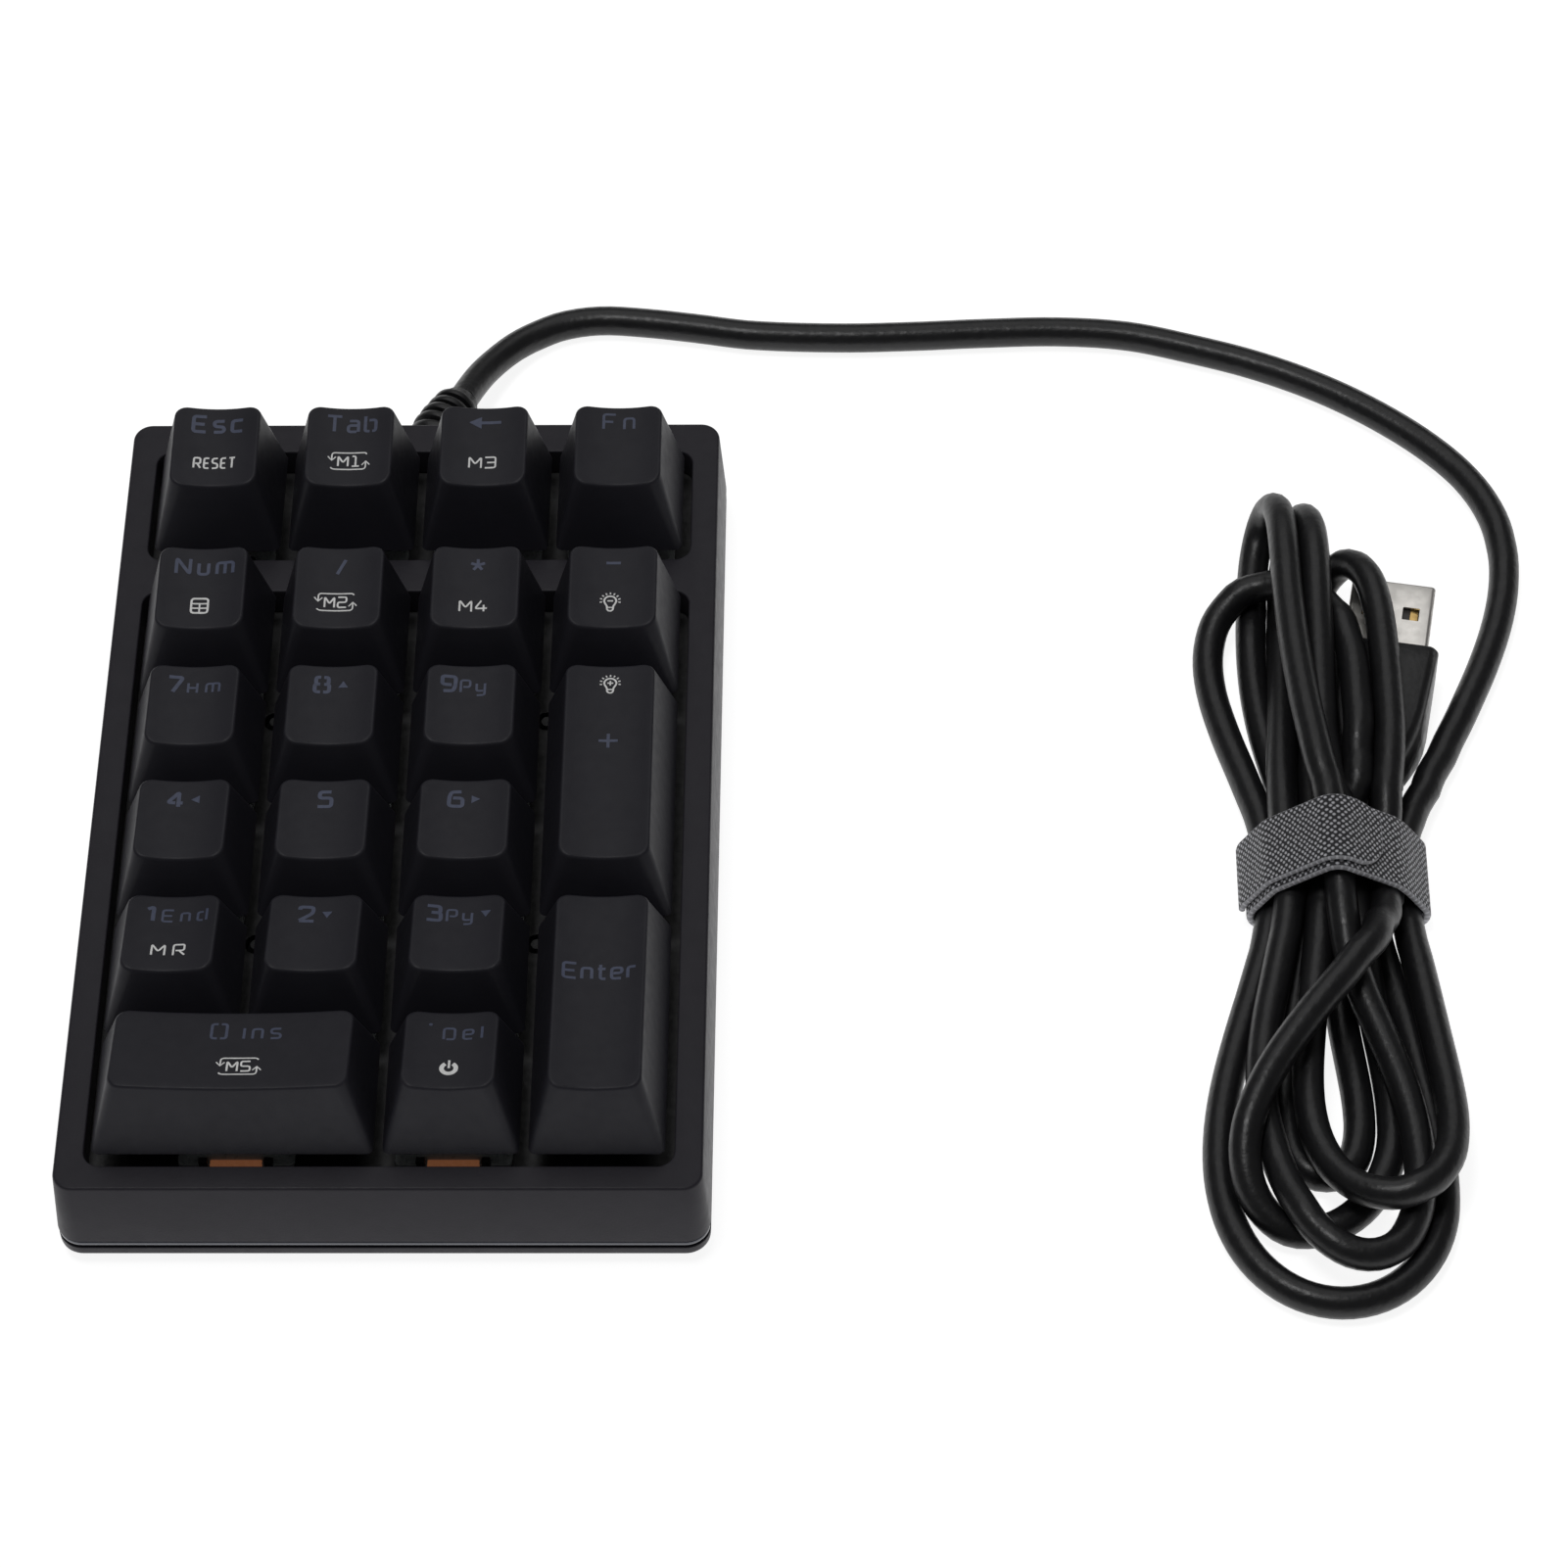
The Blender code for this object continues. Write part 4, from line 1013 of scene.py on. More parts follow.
def switch_mesh():
    """A housing: black base through the plate, clear top with clips, and at its front an amber block of
    painted glow that stands in for light shining through the brown stem.
    """
    bm = bmesh.new()
    lower = [
        at_height(rounded_outline((-half, -half), (half, half), 0.0006, 3), z)
        for half, z in ((0.0063, 0.00705), (0.0069, 0.0078), (0.00695, PLATE_TOP + 0.0003))
    ]
    add_loft(bm, lower, True, True, 0)
    for side in (-1, 1):
        x = side * 0.0069
        add_block(bm, (x - 0.0004, -0.0018, 0.0092), (x + 0.0004, 0.0018, 0.0104), 0.0002, 0)
    flange = SWITCH_SIDES
    levels = (
        (flange - 0.0001, 0.0, PLATE_TOP + 0.0003, 0.0008),
        (flange, 0.0, PLATE_TOP + 0.00045, 0.0008),
        (flange, 0.0, PLATE_TOP + 0.00105, 0.0008),
        (flange - 0.00015, 0.0, PLATE_TOP + 0.0012, 0.0008),
        (0.0070, 0.0, PLATE_TOP + 0.0012, 0.0007), (0.0067, 0.0, PLATE_TOP + 0.0024, 0.0007),
        (0.0052, 0.0003, SWITCH_TOP - 0.0003, 0.0009), (0.0049, 0.0003, SWITCH_TOP, 0.0009),
        (0.0036, 0.0003, SWITCH_TOP, 0.0006), (0.0036, 0.0003, SWITCH_TOP - 0.0012, 0.0006),
        (0.0058, 0.0, PLATE_TOP + 0.0024, 0.0006), (0.0060, 0.0, PLATE_TOP + 0.0003, 0.0006),
    )
    rings = [
        at_height(rounded_outline((-half, y - half), (half, y + half), corner, 4), z)
        for half, y, z, corner in levels
    ]
    add_loft(bm, rings, slot=1, around=True)
    for side in (-1, 1):
        y = side * 0.0074
        for x in (-0.0043, 0.0043):
            low = (x - 0.0006, y - 0.0004, 0.0126)
            high = (x + 0.0006, y + 0.0004, 0.0141)
            add_block(bm, low, high, 0.00015, 0)
    # Painted glow: an amber, faintly self-lit block at the front where light shines through the brown stem;
    # it is no lamp.
    add_block(bm, (-0.00345, -0.0079, 0.01275), (0.00345, -0.0066, 0.0133), 0.0002, 2)
    add_block(bm, (-0.0024, -0.00785, 0.0123), (0.0024, -0.0066, 0.01265), 0.0001, 0)
    return mesh_from("switch", bm)


def stem_mesh():
    """A stem: its slider inside the housing, and the cross that the keycap's post grips."""
    bm = bmesh.new()
    add_block(bm, (-0.0034, -0.0025, 0.0137), (0.0034, 0.0031, 0.0187), 0.0004)
    cross = cross_outline(0.0, 0.0, 0.0020, 0.0006)
    add_loft(bm, [at_height(cross, z) for z in (0.0183, 0.0224)], True, True)
    return mesh_from("stem", bm)


def stabiliser_mesh(along_y):
    """Two housings clipped in the plate, and the wire that joins their sliders."""
    bm = bmesh.new()
    for side in (-1, 1):
        x = side * STABILISER_OFFSET
        low = (x - 0.0033, -0.0056, PLATE_TOP + 0.0003)
        high = (x + 0.0033, 0.0056, PLATE_TOP + 0.0045)
        add_block(bm, low, high, 0.0006, 0)
        low = (x - 0.0022, 0.0050, PLATE_TOP + 0.0003)
        high = (x + 0.0022, 0.0068, PLATE_TOP + 0.0020)
        add_block(bm, low, high, 0.0004, 0)
    end, back = -0.004, 0.0074
    left, right = -STABILISER_OFFSET, STABILISER_OFFSET
    wire = [(left, end), (left, back), (right, back), (right, end)]
    centre = [Vector((x, y, PLATE_TOP + 0.0026)) for x, y in wire]
    add_loft(bm, tube_rings(rounded_corners(centre, 0.0015), 0.0008, 8), True, True, 1)
    if along_y:
        bm.transform(Matrix.Rotation(pi / 2, 4, "Z"))
    return mesh_from("stabiliser", bm)


# ---------------------------------------------------------------- case

CASE_HALF = Vector((0.0432, 0.0664))
CASE_CORNER = 0.0034
CASE_DRAFT = 0.00075               # the top edge is this much further in than the lower one
COVER_BOTTOM = 0.0051
COVER_TOP = 0.0168
RIM_BOTTOM = 0.0123                # the underside of the frame round the keys
COVER_WALL = 0.0021
WINDOW_X = 0.03865
MAIN_WINDOW = (-0.062, 0.03445)
TOP_WINDOW = (0.04025, 0.06035)
WINDOW_CORNER = 0.0023
BOOT_Z = 0.0086
SCREW_PLACES = tuple((x, y) for y in (0.014825, -0.023275) for x in (-0.01905, 0.01905))


def case_outline(inset=0.0):
    corner = max(CASE_CORNER - inset, 0.001)
    half = CASE_HALF - Vector((inset, inset))
    return rounded_outline(-half, half, corner, 12)


def case_plastic():
    return moulded("moulded_case", look().case_colour, 0.40, 0.00030, 0.000018, Specular_IOR_Level=0.15)


def fill_between(bm, rims):
    """Faces over a flat area between rings of vertices, with holes where rings lie inside others."""
    edges = [bm.edges.get((rim[i], rim[(i + 1) % len(rim)])) for rim in rims for i in range(len(rim))]
    bmesh.ops.triangle_fill(bm, edges=edges, use_beauty=True)


def cover_mesh():
    """The top case: its walls with rounded edges, its frame, and two windows with eased edges."""
    bm = bmesh.new()
    edge = sizes().case_edge
    outside = [
        at_height(case_outline(0.0001), COVER_BOTTOM),
        at_height(case_outline(0.0), COVER_BOTTOM + 0.0001),
    ]
    straight = (COVER_TOP - edge - COVER_BOTTOM) / (COVER_TOP - COVER_BOTTOM)
    outside.append(at_height(case_outline(CASE_DRAFT * straight), COVER_TOP - edge))
    for step in range(1, 7):
        angle = pi / 2 * step / 6
        outside.append(at_height(
            case_outline(CASE_DRAFT + edge * (1 - cos(angle))), COVER_TOP - edge * (1 - sin(angle))
        ))
    inside = [
        at_height(case_outline(COVER_WALL), COVER_BOTTOM),
        at_height(case_outline(COVER_WALL + CASE_DRAFT), RIM_BOTTOM),
    ]
    outer = add_loft(bm, outside)
    inner = add_loft(bm, inside)
    tops, bottoms = [outer[-1]], [inner[-1]]
    ease = edge * 0.6
    for front, back in (MAIN_WINDOW, TOP_WINDOW):
        window = rounded_outline((-WINDOW_X, front), (WINDOW_X, back), WINDOW_CORNER, 10)
        rings = [at_height(window, z) for z in (RIM_BOTTOM, COVER_TOP - ease)]
        for step in range(1, 5):
            angle = pi / 2 * step / 4
            out = ease * (1 - cos(angle))
            low, high = (-WINDOW_X - out, front - out), (WINDOW_X + out, back + out)
            outline = rounded_outline(low, high, WINDOW_CORNER + out, 10)
            rings.append(at_height(outline, COVER_TOP - ease * (1 - sin(angle))))
        made = add_loft(bm, rings)
        tops.append(made[-1])
        bottoms.append(made[0])
    fill_between(bm, tops)
    fill_between(bm, bottoms)
    fill_between(bm, [outer[0], inner[0]])
    return mesh_from("top_case", bm)


def outlet_mesh():
    """A cutter for the hole that the strain relief's neck passes through."""
    bm = bmesh.new()
    bmesh.ops.create_cone(
        bm, cap_ends=True, segments=32, radius1=0.0033, radius2=0.0033, depth=0.008,
        matrix=Matrix.Translation((0.0, CASE_HALF.y, BOOT_Z)) @ Matrix.Rotation(pi / 2, 4, "X"),
    )
    return bm


def base_mesh():
    """The bottom case: a tray with bosses for the screws, foot recesses and a blank label recess."""
    bm = bmesh.new()
    bottom, floor, top = 0.0013, 0.0029, 0.00365
    rings = [
        at_height(case_outline(inset), z) for inset, z in (
            (0.0014, bottom), (0.0009, bottom + 0.0001), (0.00045, bottom + 0.0004),
            (0.0001, bottom + 0.0009), (0.00005, bottom + 0.0013), (0.00005, top - 0.0001),
            (0.00015, top), (0.0024, top), (0.0024, floor),
        )
    ]
    made = add_loft(bm, rings)
    unders, floors = [made[0]], [made[-1]]
    for x, y in SCREW_PLACES:
        bore = [
            at_height(circle_outline(x, y, radius, 24), z) for radius, z in (
                (0.0031, bottom), (0.0029, bottom + 0.0002), (0.0029, 0.0032), (0.0016, 0.0032),
                (0.0016, 0.0102), (0.0027, 0.0102), (0.0027, 0.0047), (0.0044, 0.0047),
                (0.0044, floor),
            )
        ]
        bored = add_loft(bm, bore)
        unders.append(bored[0])
        floors.append(bored[-1])
    recess = 0.0005
    for low, high, corner in (
        ((-0.0343, -0.0583), (0.0343, -0.0517), 0.0033),
        ((-0.0343, 0.0517), (0.0343, 0.0583), 0.0033),
        ((-0.0150, -0.0140), (0.0150, 0.0060), 0.0015),
    ):
        pocket = rounded_outline(low, high, corner, 6)
        levels = [at_height(pocket, z) for z in (bottom, bottom + recess)]
        walls = add_loft(bm, levels, close_end=True)
        unders.append(walls[0])
    fill_between(bm, unders)
    fill_between(bm, floors)
    return mesh_from("bottom_case", bm)


def strip_mesh():
    """The light strip: a band between the two cases with a rounded face, and a flange inside."""
    bm = bmesh.new()
    low, high, inside = 0.00405, 0.0048, 0.0046
    middle = (low + high) / 2
    rings = []
    for step in range(9):
        angle = pi * step / 8 - pi / 2
        z = middle + (high - low) / 2 * sin(angle)
        rings.append(at_height(case_outline(0.00025 - 0.00015 * cos(angle)), z))
    rings += [at_height(case_outline(inside), high), at_height(case_outline(inside), low)]
    add_loft(bm, rings, around=True)
    return mesh_from("light_strip", bm)


def strip_acrylic():
    finish = Finish("strip_acrylic", look().strip_colour, 0.14, Coat_Weight=0.6, Coat_Roughness=0.06)
    finish.rub(0.002, 0.11, 0.19)
    finish.vary(0.003, 0.08)
    return finish.material


def foot_rubber():
    return moulded("foot_rubber", (0.018, 0.018, 0.018), 0.8, 0.0006, 0.00004)


def screw_steel():
    finish = Finish("blackened_screw", (0.012, 0.012, 0.013), 0.6, Metallic=0.2)
    finish.rub(0.0006, 0.3, 0.5)
    finish.bump(finish.noise(0.0003), 0.000008)
    return finish.material


def plate_steel():
    finish = Finish("plate_steel", (0.016, 0.016, 0.017), 0.55)
    finish.rub(0.001, 0.45, 0.65)
    finish.bump(finish.noise(0.0004), 0.00002)
    return finish.material


def board_resin():
    finish = Finish("board_resin", (0.012, 0.035, 0.02), 0.4)
    finish.vary(0.0006, 0.25)
    finish.rub(0.001, 0.3, 0.5)
    return finish.material


def screw_mesh(x, y):
    """A pan-head screw with a cross recess."""
    bm = bmesh.new()
    head = [
        (0.0012, 0.00165), (0.0018, 0.0017), (0.0022, 0.00185),
        (0.0024, 0.0021), (0.0024, 0.0029), (0.00125, 0.0029),
    ]
    shank = []
    for turn in range(14):
        z = 0.0032 + turn * 0.0006
        shank += [(0.00125, z), (0.00105, z + 0.0003)]
    tip = [(0.0008, 0.012)]
    rings = [at_height(circle_outline(x, y, radius, 20), z) for radius, z in head + shank + tip]
    made = add_loft(bm, rings, close_end=True)
    recess = cross_outline(x, y, 0.0011, 0.00022)
    hole = add_loft(bm, [at_height(recess, 0.00165), at_height(recess, 0.0026)], close_end=True)
    fill_between(bm, [made[0], hole[0]])
    return mesh_from("screw", bm)


def foot_mesh(y):
    """A rubber pad with eased edges."""
    bm = bmesh.new()
    rings = []
    for inset, z in ((0.0006, 0.0), (0.00018, 0.00018), (0.0, 0.0006), (0.0, 0.001)):
        low = (-0.034 + inset, y - 0.003 + inset)
        high = (0.034 - inset, y + 0.003 - inset)
        rings.append(at_height(rounded_outline(low, high, 0.00299 - inset, 8), z))
    add_loft(bm, rings, True, True)
    return mesh_from("foot", bm)


# ---------------------------------------------------------------- tubes and bends

def rounded_corners(points, radius, steps=6):
    """A path whose corners are rounded."""
    path = [points[0]]
    for before, corner, after in zip(points, points[1:], points[2:]):
        back = min(radius, (before - corner).length / 2)
        out = min(radius, (after - corner).length / 2)
        start = corner + (before - corner).normalized() * back
        end = corner + (after - corner).normalized() * out
        for step in range(steps + 1):
            t = step / steps
            path.append(start * (1 - t) ** 2 + corner * (2 * t * (1 - t)) + end * t ** 2)
    path.append(points[-1])
    return path


def tube_rings(path, radius, sides=16, radii=None):
    """Rings round a path, each square to the path there."""
    rings = []
    side = None
    for i, spot in enumerate(path):
        along = (path[min(i + 1, len(path) - 1)] - path[max(i - 1, 0)]).normalized()
        if side is None:
            side = along.cross(Vector((0, 0, 1)))
            if side.length < 0.1:
                side = along.cross(Vector((0, 1, 0)))
        side = (side - along * side.dot(along)).normalized()
        up = side.cross(along)
        size = radii[i] if radii else radius
        rings.append([
            spot + (side * cos(2 * pi * k / sides) + up * sin(2 * pi * k / sides)) * size
            for k in range(sides)
        ])
    return rings


# ---------------------------------------------------------------- finishes

class Finish:
    """A material whose shader takes its detail from noise in the object's own coordinates."""

    def __init__(self, name, colour, roughness, **settings):
        self.material = bpy.data.materials.new(name)
        self.material.use_nodes = True
        self.nodes = self.material.node_tree.nodes
        self.links = self.material.node_tree.links
        self.shader = self.nodes["Principled BSDF"]
        self.set("Base Color", (*colour, 1.0))
        self.set("Roughness", roughness)
        for socket, value in settings.items():
            self.set(socket.replace("_", " "), value)
        self.coordinates = self.nodes.new("ShaderNodeTexCoord").outputs["Object"]

    def set(self, socket, value):
        self.shader.inputs[socket].default_value = value

    def stretched(self, scale, turn=0.0):
        """The coordinates, scaled along each axis and turned about Z."""
        node = self.nodes.new("ShaderNodeMapping")
        node.inputs["Scale"].default_value = scale
        node.inputs["Rotation"].default_value[2] = turn
        self.links.new(self.coordinates, node.inputs["Vector"])
        return node.outputs["Vector"]

    def noise(self, size, detail=3.0, coordinates=None, roughness=0.5):
        """Noise whose features are about that size in metres."""
        node = self.nodes.new("ShaderNodeTexNoise")
        node.inputs["Scale"].default_value = 1.0 / size
        node.inputs["Detail"].default_value = detail
        node.inputs["Roughness"].default_value = roughness
        self.links.new(coordinates or self.coordinates, node.inputs["Vector"])
        return node.outputs["Fac"]

    def mapped(self, value, low, high, start=0.3, end=0.7):
        """A value stretched from start..end to low..high."""
        node = self.nodes.new("ShaderNodeMapRange")
        node.inputs["From Min"].default_value = start
        node.inputs["From Max"].default_value = end
        node.inputs["To Min"].default_value = low
        node.inputs["To Max"].default_value = high
        self.links.new(value, node.inputs["Value"])
        return node.outputs["Result"]

    def blended(self, share, first, second):
        """Two colours mixed by a value."""
        node = self.nodes.new("ShaderNodeMix")
        node.data_type = "RGBA"
        node.inputs["A"].default_value = (*first, 1.0)
        node.inputs["B"].default_value = (*second, 1.0)
        self.links.new(share, node.inputs["Factor"])
        return node.outputs["Result"]

    def feed(self, socket, value):
        self.links.new(value, self.shader.inputs[socket])

    def bump(self, height, depth, strength=1.0):
        """Relief of that depth in metres."""
        node = self.nodes.new("ShaderNodeBump")
        node.inputs["Strength"].default_value = strength
        node.inputs["Distance"].default_value = depth
        previous = self.shader.inputs["Normal"].links
        if previous:
            self.links.new(previous[0].from_socket, node.inputs["Normal"])
        self.links.new(height, node.inputs["Height"])
        self.feed("Normal", node.outputs["Normal"])

    def vary(self, size, spread):
        """Lighter and darker patches of that size, by a share of the base colour."""
        base = self.shader.inputs["Base Color"].default_value[:3]
        light = [min(1.0, c * (1 + spread)) for c in base]
        dark = [c * (1 - spread) for c in base]
        self.feed("Base Color", self.blended(self.mapped(self.noise(size), 0, 1), dark, light))

    def rub(self, size, low, high):
        """Roughness that changes over patches of that size."""
        self.feed("Roughness", self.mapped(self.noise(size, 4.0), low, high))


def moulded(name, colour, roughness, grain, depth, **settings):
    """Injection-moulded plastic with a spark-eroded grain."""
    finish = Finish(name, colour, roughness, **settings)
    finish.vary(0.004, 0.05)
    finish.rub(0.0016, roughness - 0.04, roughness + 0.05)
    finish.bump(finish.noise(grain, 2.0), depth)
    return finish.material


def cord_vinyl():
    finish = Finish("lead_vinyl", look().cord_colour, 0.28, Specular_IOR_Level=0.42)
    finish.vary(0.003, 0.10)
    finish.rub(0.0012, 0.31, 0.42)
    finish.bump(finish.noise(0.0009, 3.0), 0.00006)
    return finish.material


def plug_steel():
    finish = Finish("plug_steel", (0.80, 0.775, 0.735), 0.34, Metallic=1.0)
    finish.rub(0.0012, 0.27, 0.42)
    brushed = finish.noise(0.0004, 3.0, finish.stretched((1.0, 0.12, 1.0), PLUG_TILT))
    finish.bump(brushed, 0.000006)
    return finish.material


def strap_weave():
    """Dark webbing with rows of pale stitches and a pale selvedge, laid out along the strap."""
    finish = Finish("strap_weave", (0.02, 0.02, 0.022), 0.75, Sheen_Weight=0.15)
    laid_out = finish.nodes.new("ShaderNodeUVMap")
    laid_out.uv_map = "weave"
    rows = finish.nodes.new("ShaderNodeMapping")
    rows.inputs["Scale"].default_value = (1 / 0.00060, 1 / 0.00072, 1.0)
    rows.inputs["Rotation"].default_value[2] = radians(45.0)
    finish.links.new(laid_out.outputs["UV"], rows.inputs["Vector"])
    stitches = finish.nodes.new("ShaderNodeTexVoronoi")
    stitches.voronoi_dimensions = "2D"
    stitches.inputs["Scale"].default_value = 1.0
    stitches.inputs["Randomness"].default_value = 0.22
    finish.links.new(rows.outputs["Vector"], stitches.inputs["Vector"])
    dots = finish.mapped(stitches.outputs["Distance"], 1.0, 0.0, 0.20, 0.40)
    edge = finish.nodes.new("ShaderNodeAttribute")
    edge.attribute_name = "edge"
    selvedge = finish.mapped(edge.outputs["Fac"], 0.0, 0.55, 0.70, 0.90)
    raised = finish.nodes.new("ShaderNodeMath")
    raised.operation = "MAXIMUM"
    finish.links.new(dots, raised.inputs[0])
    finish.links.new(selvedge, raised.inputs[1])
    thread = finish.blended(raised.outputs["Value"], (0.02, 0.02, 0.024), (0.62, 0.62, 0.66))
    finish.feed("Base Color", thread)
    finish.bump(raised.outputs["Value"], 0.00012)
    finish.bump(finish.noise(0.00025, 4.0), 0.00004)
    return finish.material


def shared(name, make):
    """The finish of that name, made once."""
    return bpy.data.materials.get(name) or make()


def look():
    return bpy.context.scene.keypad_look


def sizes():
    return bpy.context.scene.keypad_sizes


# ---------------------------------------------------------------- settings

def colour_setting(name, description, default):
    return FloatVectorProperty(
        name=name, description=description, subtype="COLOR", size=3, min=0.0, max=1.0, default=default
    )


class KeypadLook(bpy.types.PropertyGroup):
    """Colours of the keypad's own materials."""

    case_colour: colour_setting("Case", "Moulded plastic of the case", (0.0300, 0.0282, 0.0350))
    keycap_colour: colour_setting("Keycaps", "Moulded plastic of the keycaps", (0.0220, 0.0215, 0.0280))
    legend_colour: colour_setting("Legends", "Translucent legends, unlit", (0.060, 0.073, 0.130))
    mark_colour: colour_setting("Marks", "Small printed marks", (0.95, 0.95, 0.94))
    switch_colour: colour_setting("Switches", "Clear plastic of the switch tops", (0.42, 0.45, 0.45))
    stem_colour: colour_setting("Stems", "Sliders of the switches", (0.30, 0.12, 0.045))
    strip_colour: colour_setting("Light strip", "Band between the two cases", (0.050, 0.055, 0.080))
    cord_colour: colour_setting(
        "Lead", "Vinyl of the lead, its boot and the plug's grip", (0.0100, 0.0100, 0.0110)
    )
    floor_colour: colour_setting("Floor", "Floor of the studio", (0.45, 0.45, 0.45))


class KeypadSizes(bpy.types.PropertyGroup):
    """Sizes that shape the pieces."""

    top_inset_x: FloatProperty(
        name="Inset sideways", description="How far each side of a keycap leans in", unit="LENGTH",
        default=0.00295, precision=5,
    )
    top_inset_y: FloatProperty(
        name="Inset front and back", description="How far a keycap's front and back lean in", unit="LENGTH",
        default=0.00205, precision=5,
    )
    top_shift: FloatProperty(
        name="Top shift", description="How far a keycap's top stands behind its base", unit="LENGTH",
        default=0.00175, precision=5,
    )
    dish_depth: FloatProperty(
        name="Dish", description="Depth of the hollow across a keycap's top", unit="LENGTH", default=0.0009,
        precision=5,
    )
    cap_edge: FloatProperty(
        name="Keycap edge", description="Rounding of a keycap's upper edge", unit="LENGTH", default=0.00042,
        precision=5,
    )
    cap_corner: FloatProperty(
        name="Keycap corner", description="Radius of a keycap's upper corners", unit="LENGTH", default=0.0019,
        precision=5,
    )
    case_edge: FloatProperty(
        name="Case edge", description="Rounding of the case's upper edge", unit="LENGTH", default=0.0004,
        precision=5,
    )
    cord_sides: IntProperty(
        name="Lead smoothness", description="Steps round a quarter of the lead", default=5, min=2
    )
    key_light: FloatProperty(
        name="Key light", description="Power of the large light above", unit="POWER", default=4.0, min=0.0
    )


# ---------------------------------------------------------------- operators

class KEYPAD_OT_camera(bpy.types.Operator):
    """Stand the camera in front of the keypad, looking down on it"""

    bl_idname = "keypad.camera"
    bl_label = "Camera"

    def execute(self, context):
        forward = Vector((
            sin(CAMERA_TURN) * cos(CAMERA_DOWN), cos(CAMERA_TURN) * cos(CAMERA_DOWN), -sin(CAMERA_DOWN)
        ))
        level = Vector((cos(CAMERA_TURN), -sin(CAMERA_TURN), 0.0))
        upward = level.cross(forward)
        right = level * cos(CAMERA_ROLL) + upward * sin(CAMERA_ROLL)
        top = upward * cos(CAMERA_ROLL) - level * sin(CAMERA_ROLL)
        data = bpy.data.cameras.new("camera")
        data.lens = CAMERA_LENS
        data.sensor_width = 36.0
        data.clip_start = 0.05
        data.clip_end = 20.0
        camera = bpy.data.objects.new("camera", data)
        turned = Matrix((right, top, -forward)).transposed().to_4x4()
        camera.matrix_world = Matrix.Translation(CAMERA_PLACE) @ turned
        context.scene.collection.objects.link(camera)
        context.scene.camera = camera
        return {"FINISHED"}


class KEYPAD_OT_plug(bpy.types.Operator):
    """Build the plug: its grip, its steel shell with two windows, and its contacts"""

    bl_idname = "keypad.plug"
    bl_label = "Plug"

    def execute(self, context):
        add_piece("grip", grip_mesh(), [shared("lead_vinyl", cord_vinyl)],
                  stands_for=["plug_grip"])
        shell = add_piece("shell", shell_mesh(), [plug_steel()],
                          stands_for=["plug_shell"])
        cut_away(shell, shell_openings())
        brass = Finish("contact_brass", (0.62, 0.42, 0.16), 0.3, Metallic=1.0)
        brass.rub(0.0006, 0.2, 0.42)
        insert = moulded("plug_insert", (0.06, 0.055, 0.052), 0.5, 0.0003, 0.00001)
        add_piece("tongue", tongue_mesh(), [insert, brass.material],
                  stands_for=["plug_insert"])
        return {"FINISHED"}


class KEYPAD_OT_relief(bpy.types.Operator):
    """Build the ribbed strain relief where the lead leaves the case"""

    bl_idname = "keypad.relief"
    bl_label = "Strain relief"

    def execute(self, context):
        add_piece("relief", relief_mesh(), [shared("lead_vinyl", cord_vinyl)],
                  stands_for=["strain_relief"])
        return {"FINISHED"}


class KEYPAD_OT_strap(bpy.types.Operator):
    """Wrap the woven strap round the folded lead"""

    bl_idname = "keypad.strap"
    bl_label = "Strap"

    def execute(self, context):
        woven = strap_weave()
        add_piece("band", band_mesh(), [woven], stands_for=["cable_tie"])
        add_piece("flap", flap_mesh(), [woven], stands_for=["cable_tie"])
        return {"FINISHED"}


class KEYPAD_OT_lead(bpy.types.Operator):
    """Lay the lead behind the case and fold the rest of it into its bundle"""

    bl_idname = "keypad.lead"
    bl_label = "Lead"

    def execute(self, context):
        line = settled_lead()
        lead = add_piece("lead", lead_curve(line), [shared("lead_vinyl", cord_vinyl)],
                         stands_for=("usb_cable", "cable_hank"))
        return {"FINISHED"}


class KEYPAD_OT_keycaps(bpy.types.Operator):
    """Put a dished, hollow keycap on each switch"""

    bl_idname = "keypad.keycaps"
    bl_label = "Keycaps"

    def execute(self, context):
        meshes = {}
        plastic = shared("moulded_keycap", keycap_plastic)
        for name, cap in caps().items():
            shape = (cap.height, cap.wide, cap.deep)
            if shape not in meshes:
                meshes[shape] = cap.mesh()
            add_piece(f"cap_{name}", meshes[shape], [plastic], f"key_{name}",
                      [f"keycap_{name}"], cap.place)
        return {"FINISHED"}


class KEYPAD_OT_legends(bpy.types.Operator):
    """Mark each keycap with its legend and its second function"""

    bl_idname = "keypad.legends"
    bl_label = "Legends"

    def execute(self, context):
        inks = []
        for name, colour in (("legend_blue", look().legend_colour), ("mark_white", look().mark_colour)):
            finish = Finish(name, colour, 0.45)
            finish.vary(0.0006, 0.10)
            finish.rub(0.0005, 0.38, 0.52)
            inks.append(finish.material)
        for name, cap in caps().items():
            mark = add_piece(f"legend_{name}", legend(name).mesh(cap), inks, f"key_{name}", place=cap.place)
            thickness = mark.modifiers.new("thickness", "SOLIDIFY")
            thickness.thickness = 0.00005
            thickness.offset = -1.0
        return {"FINISHED"}


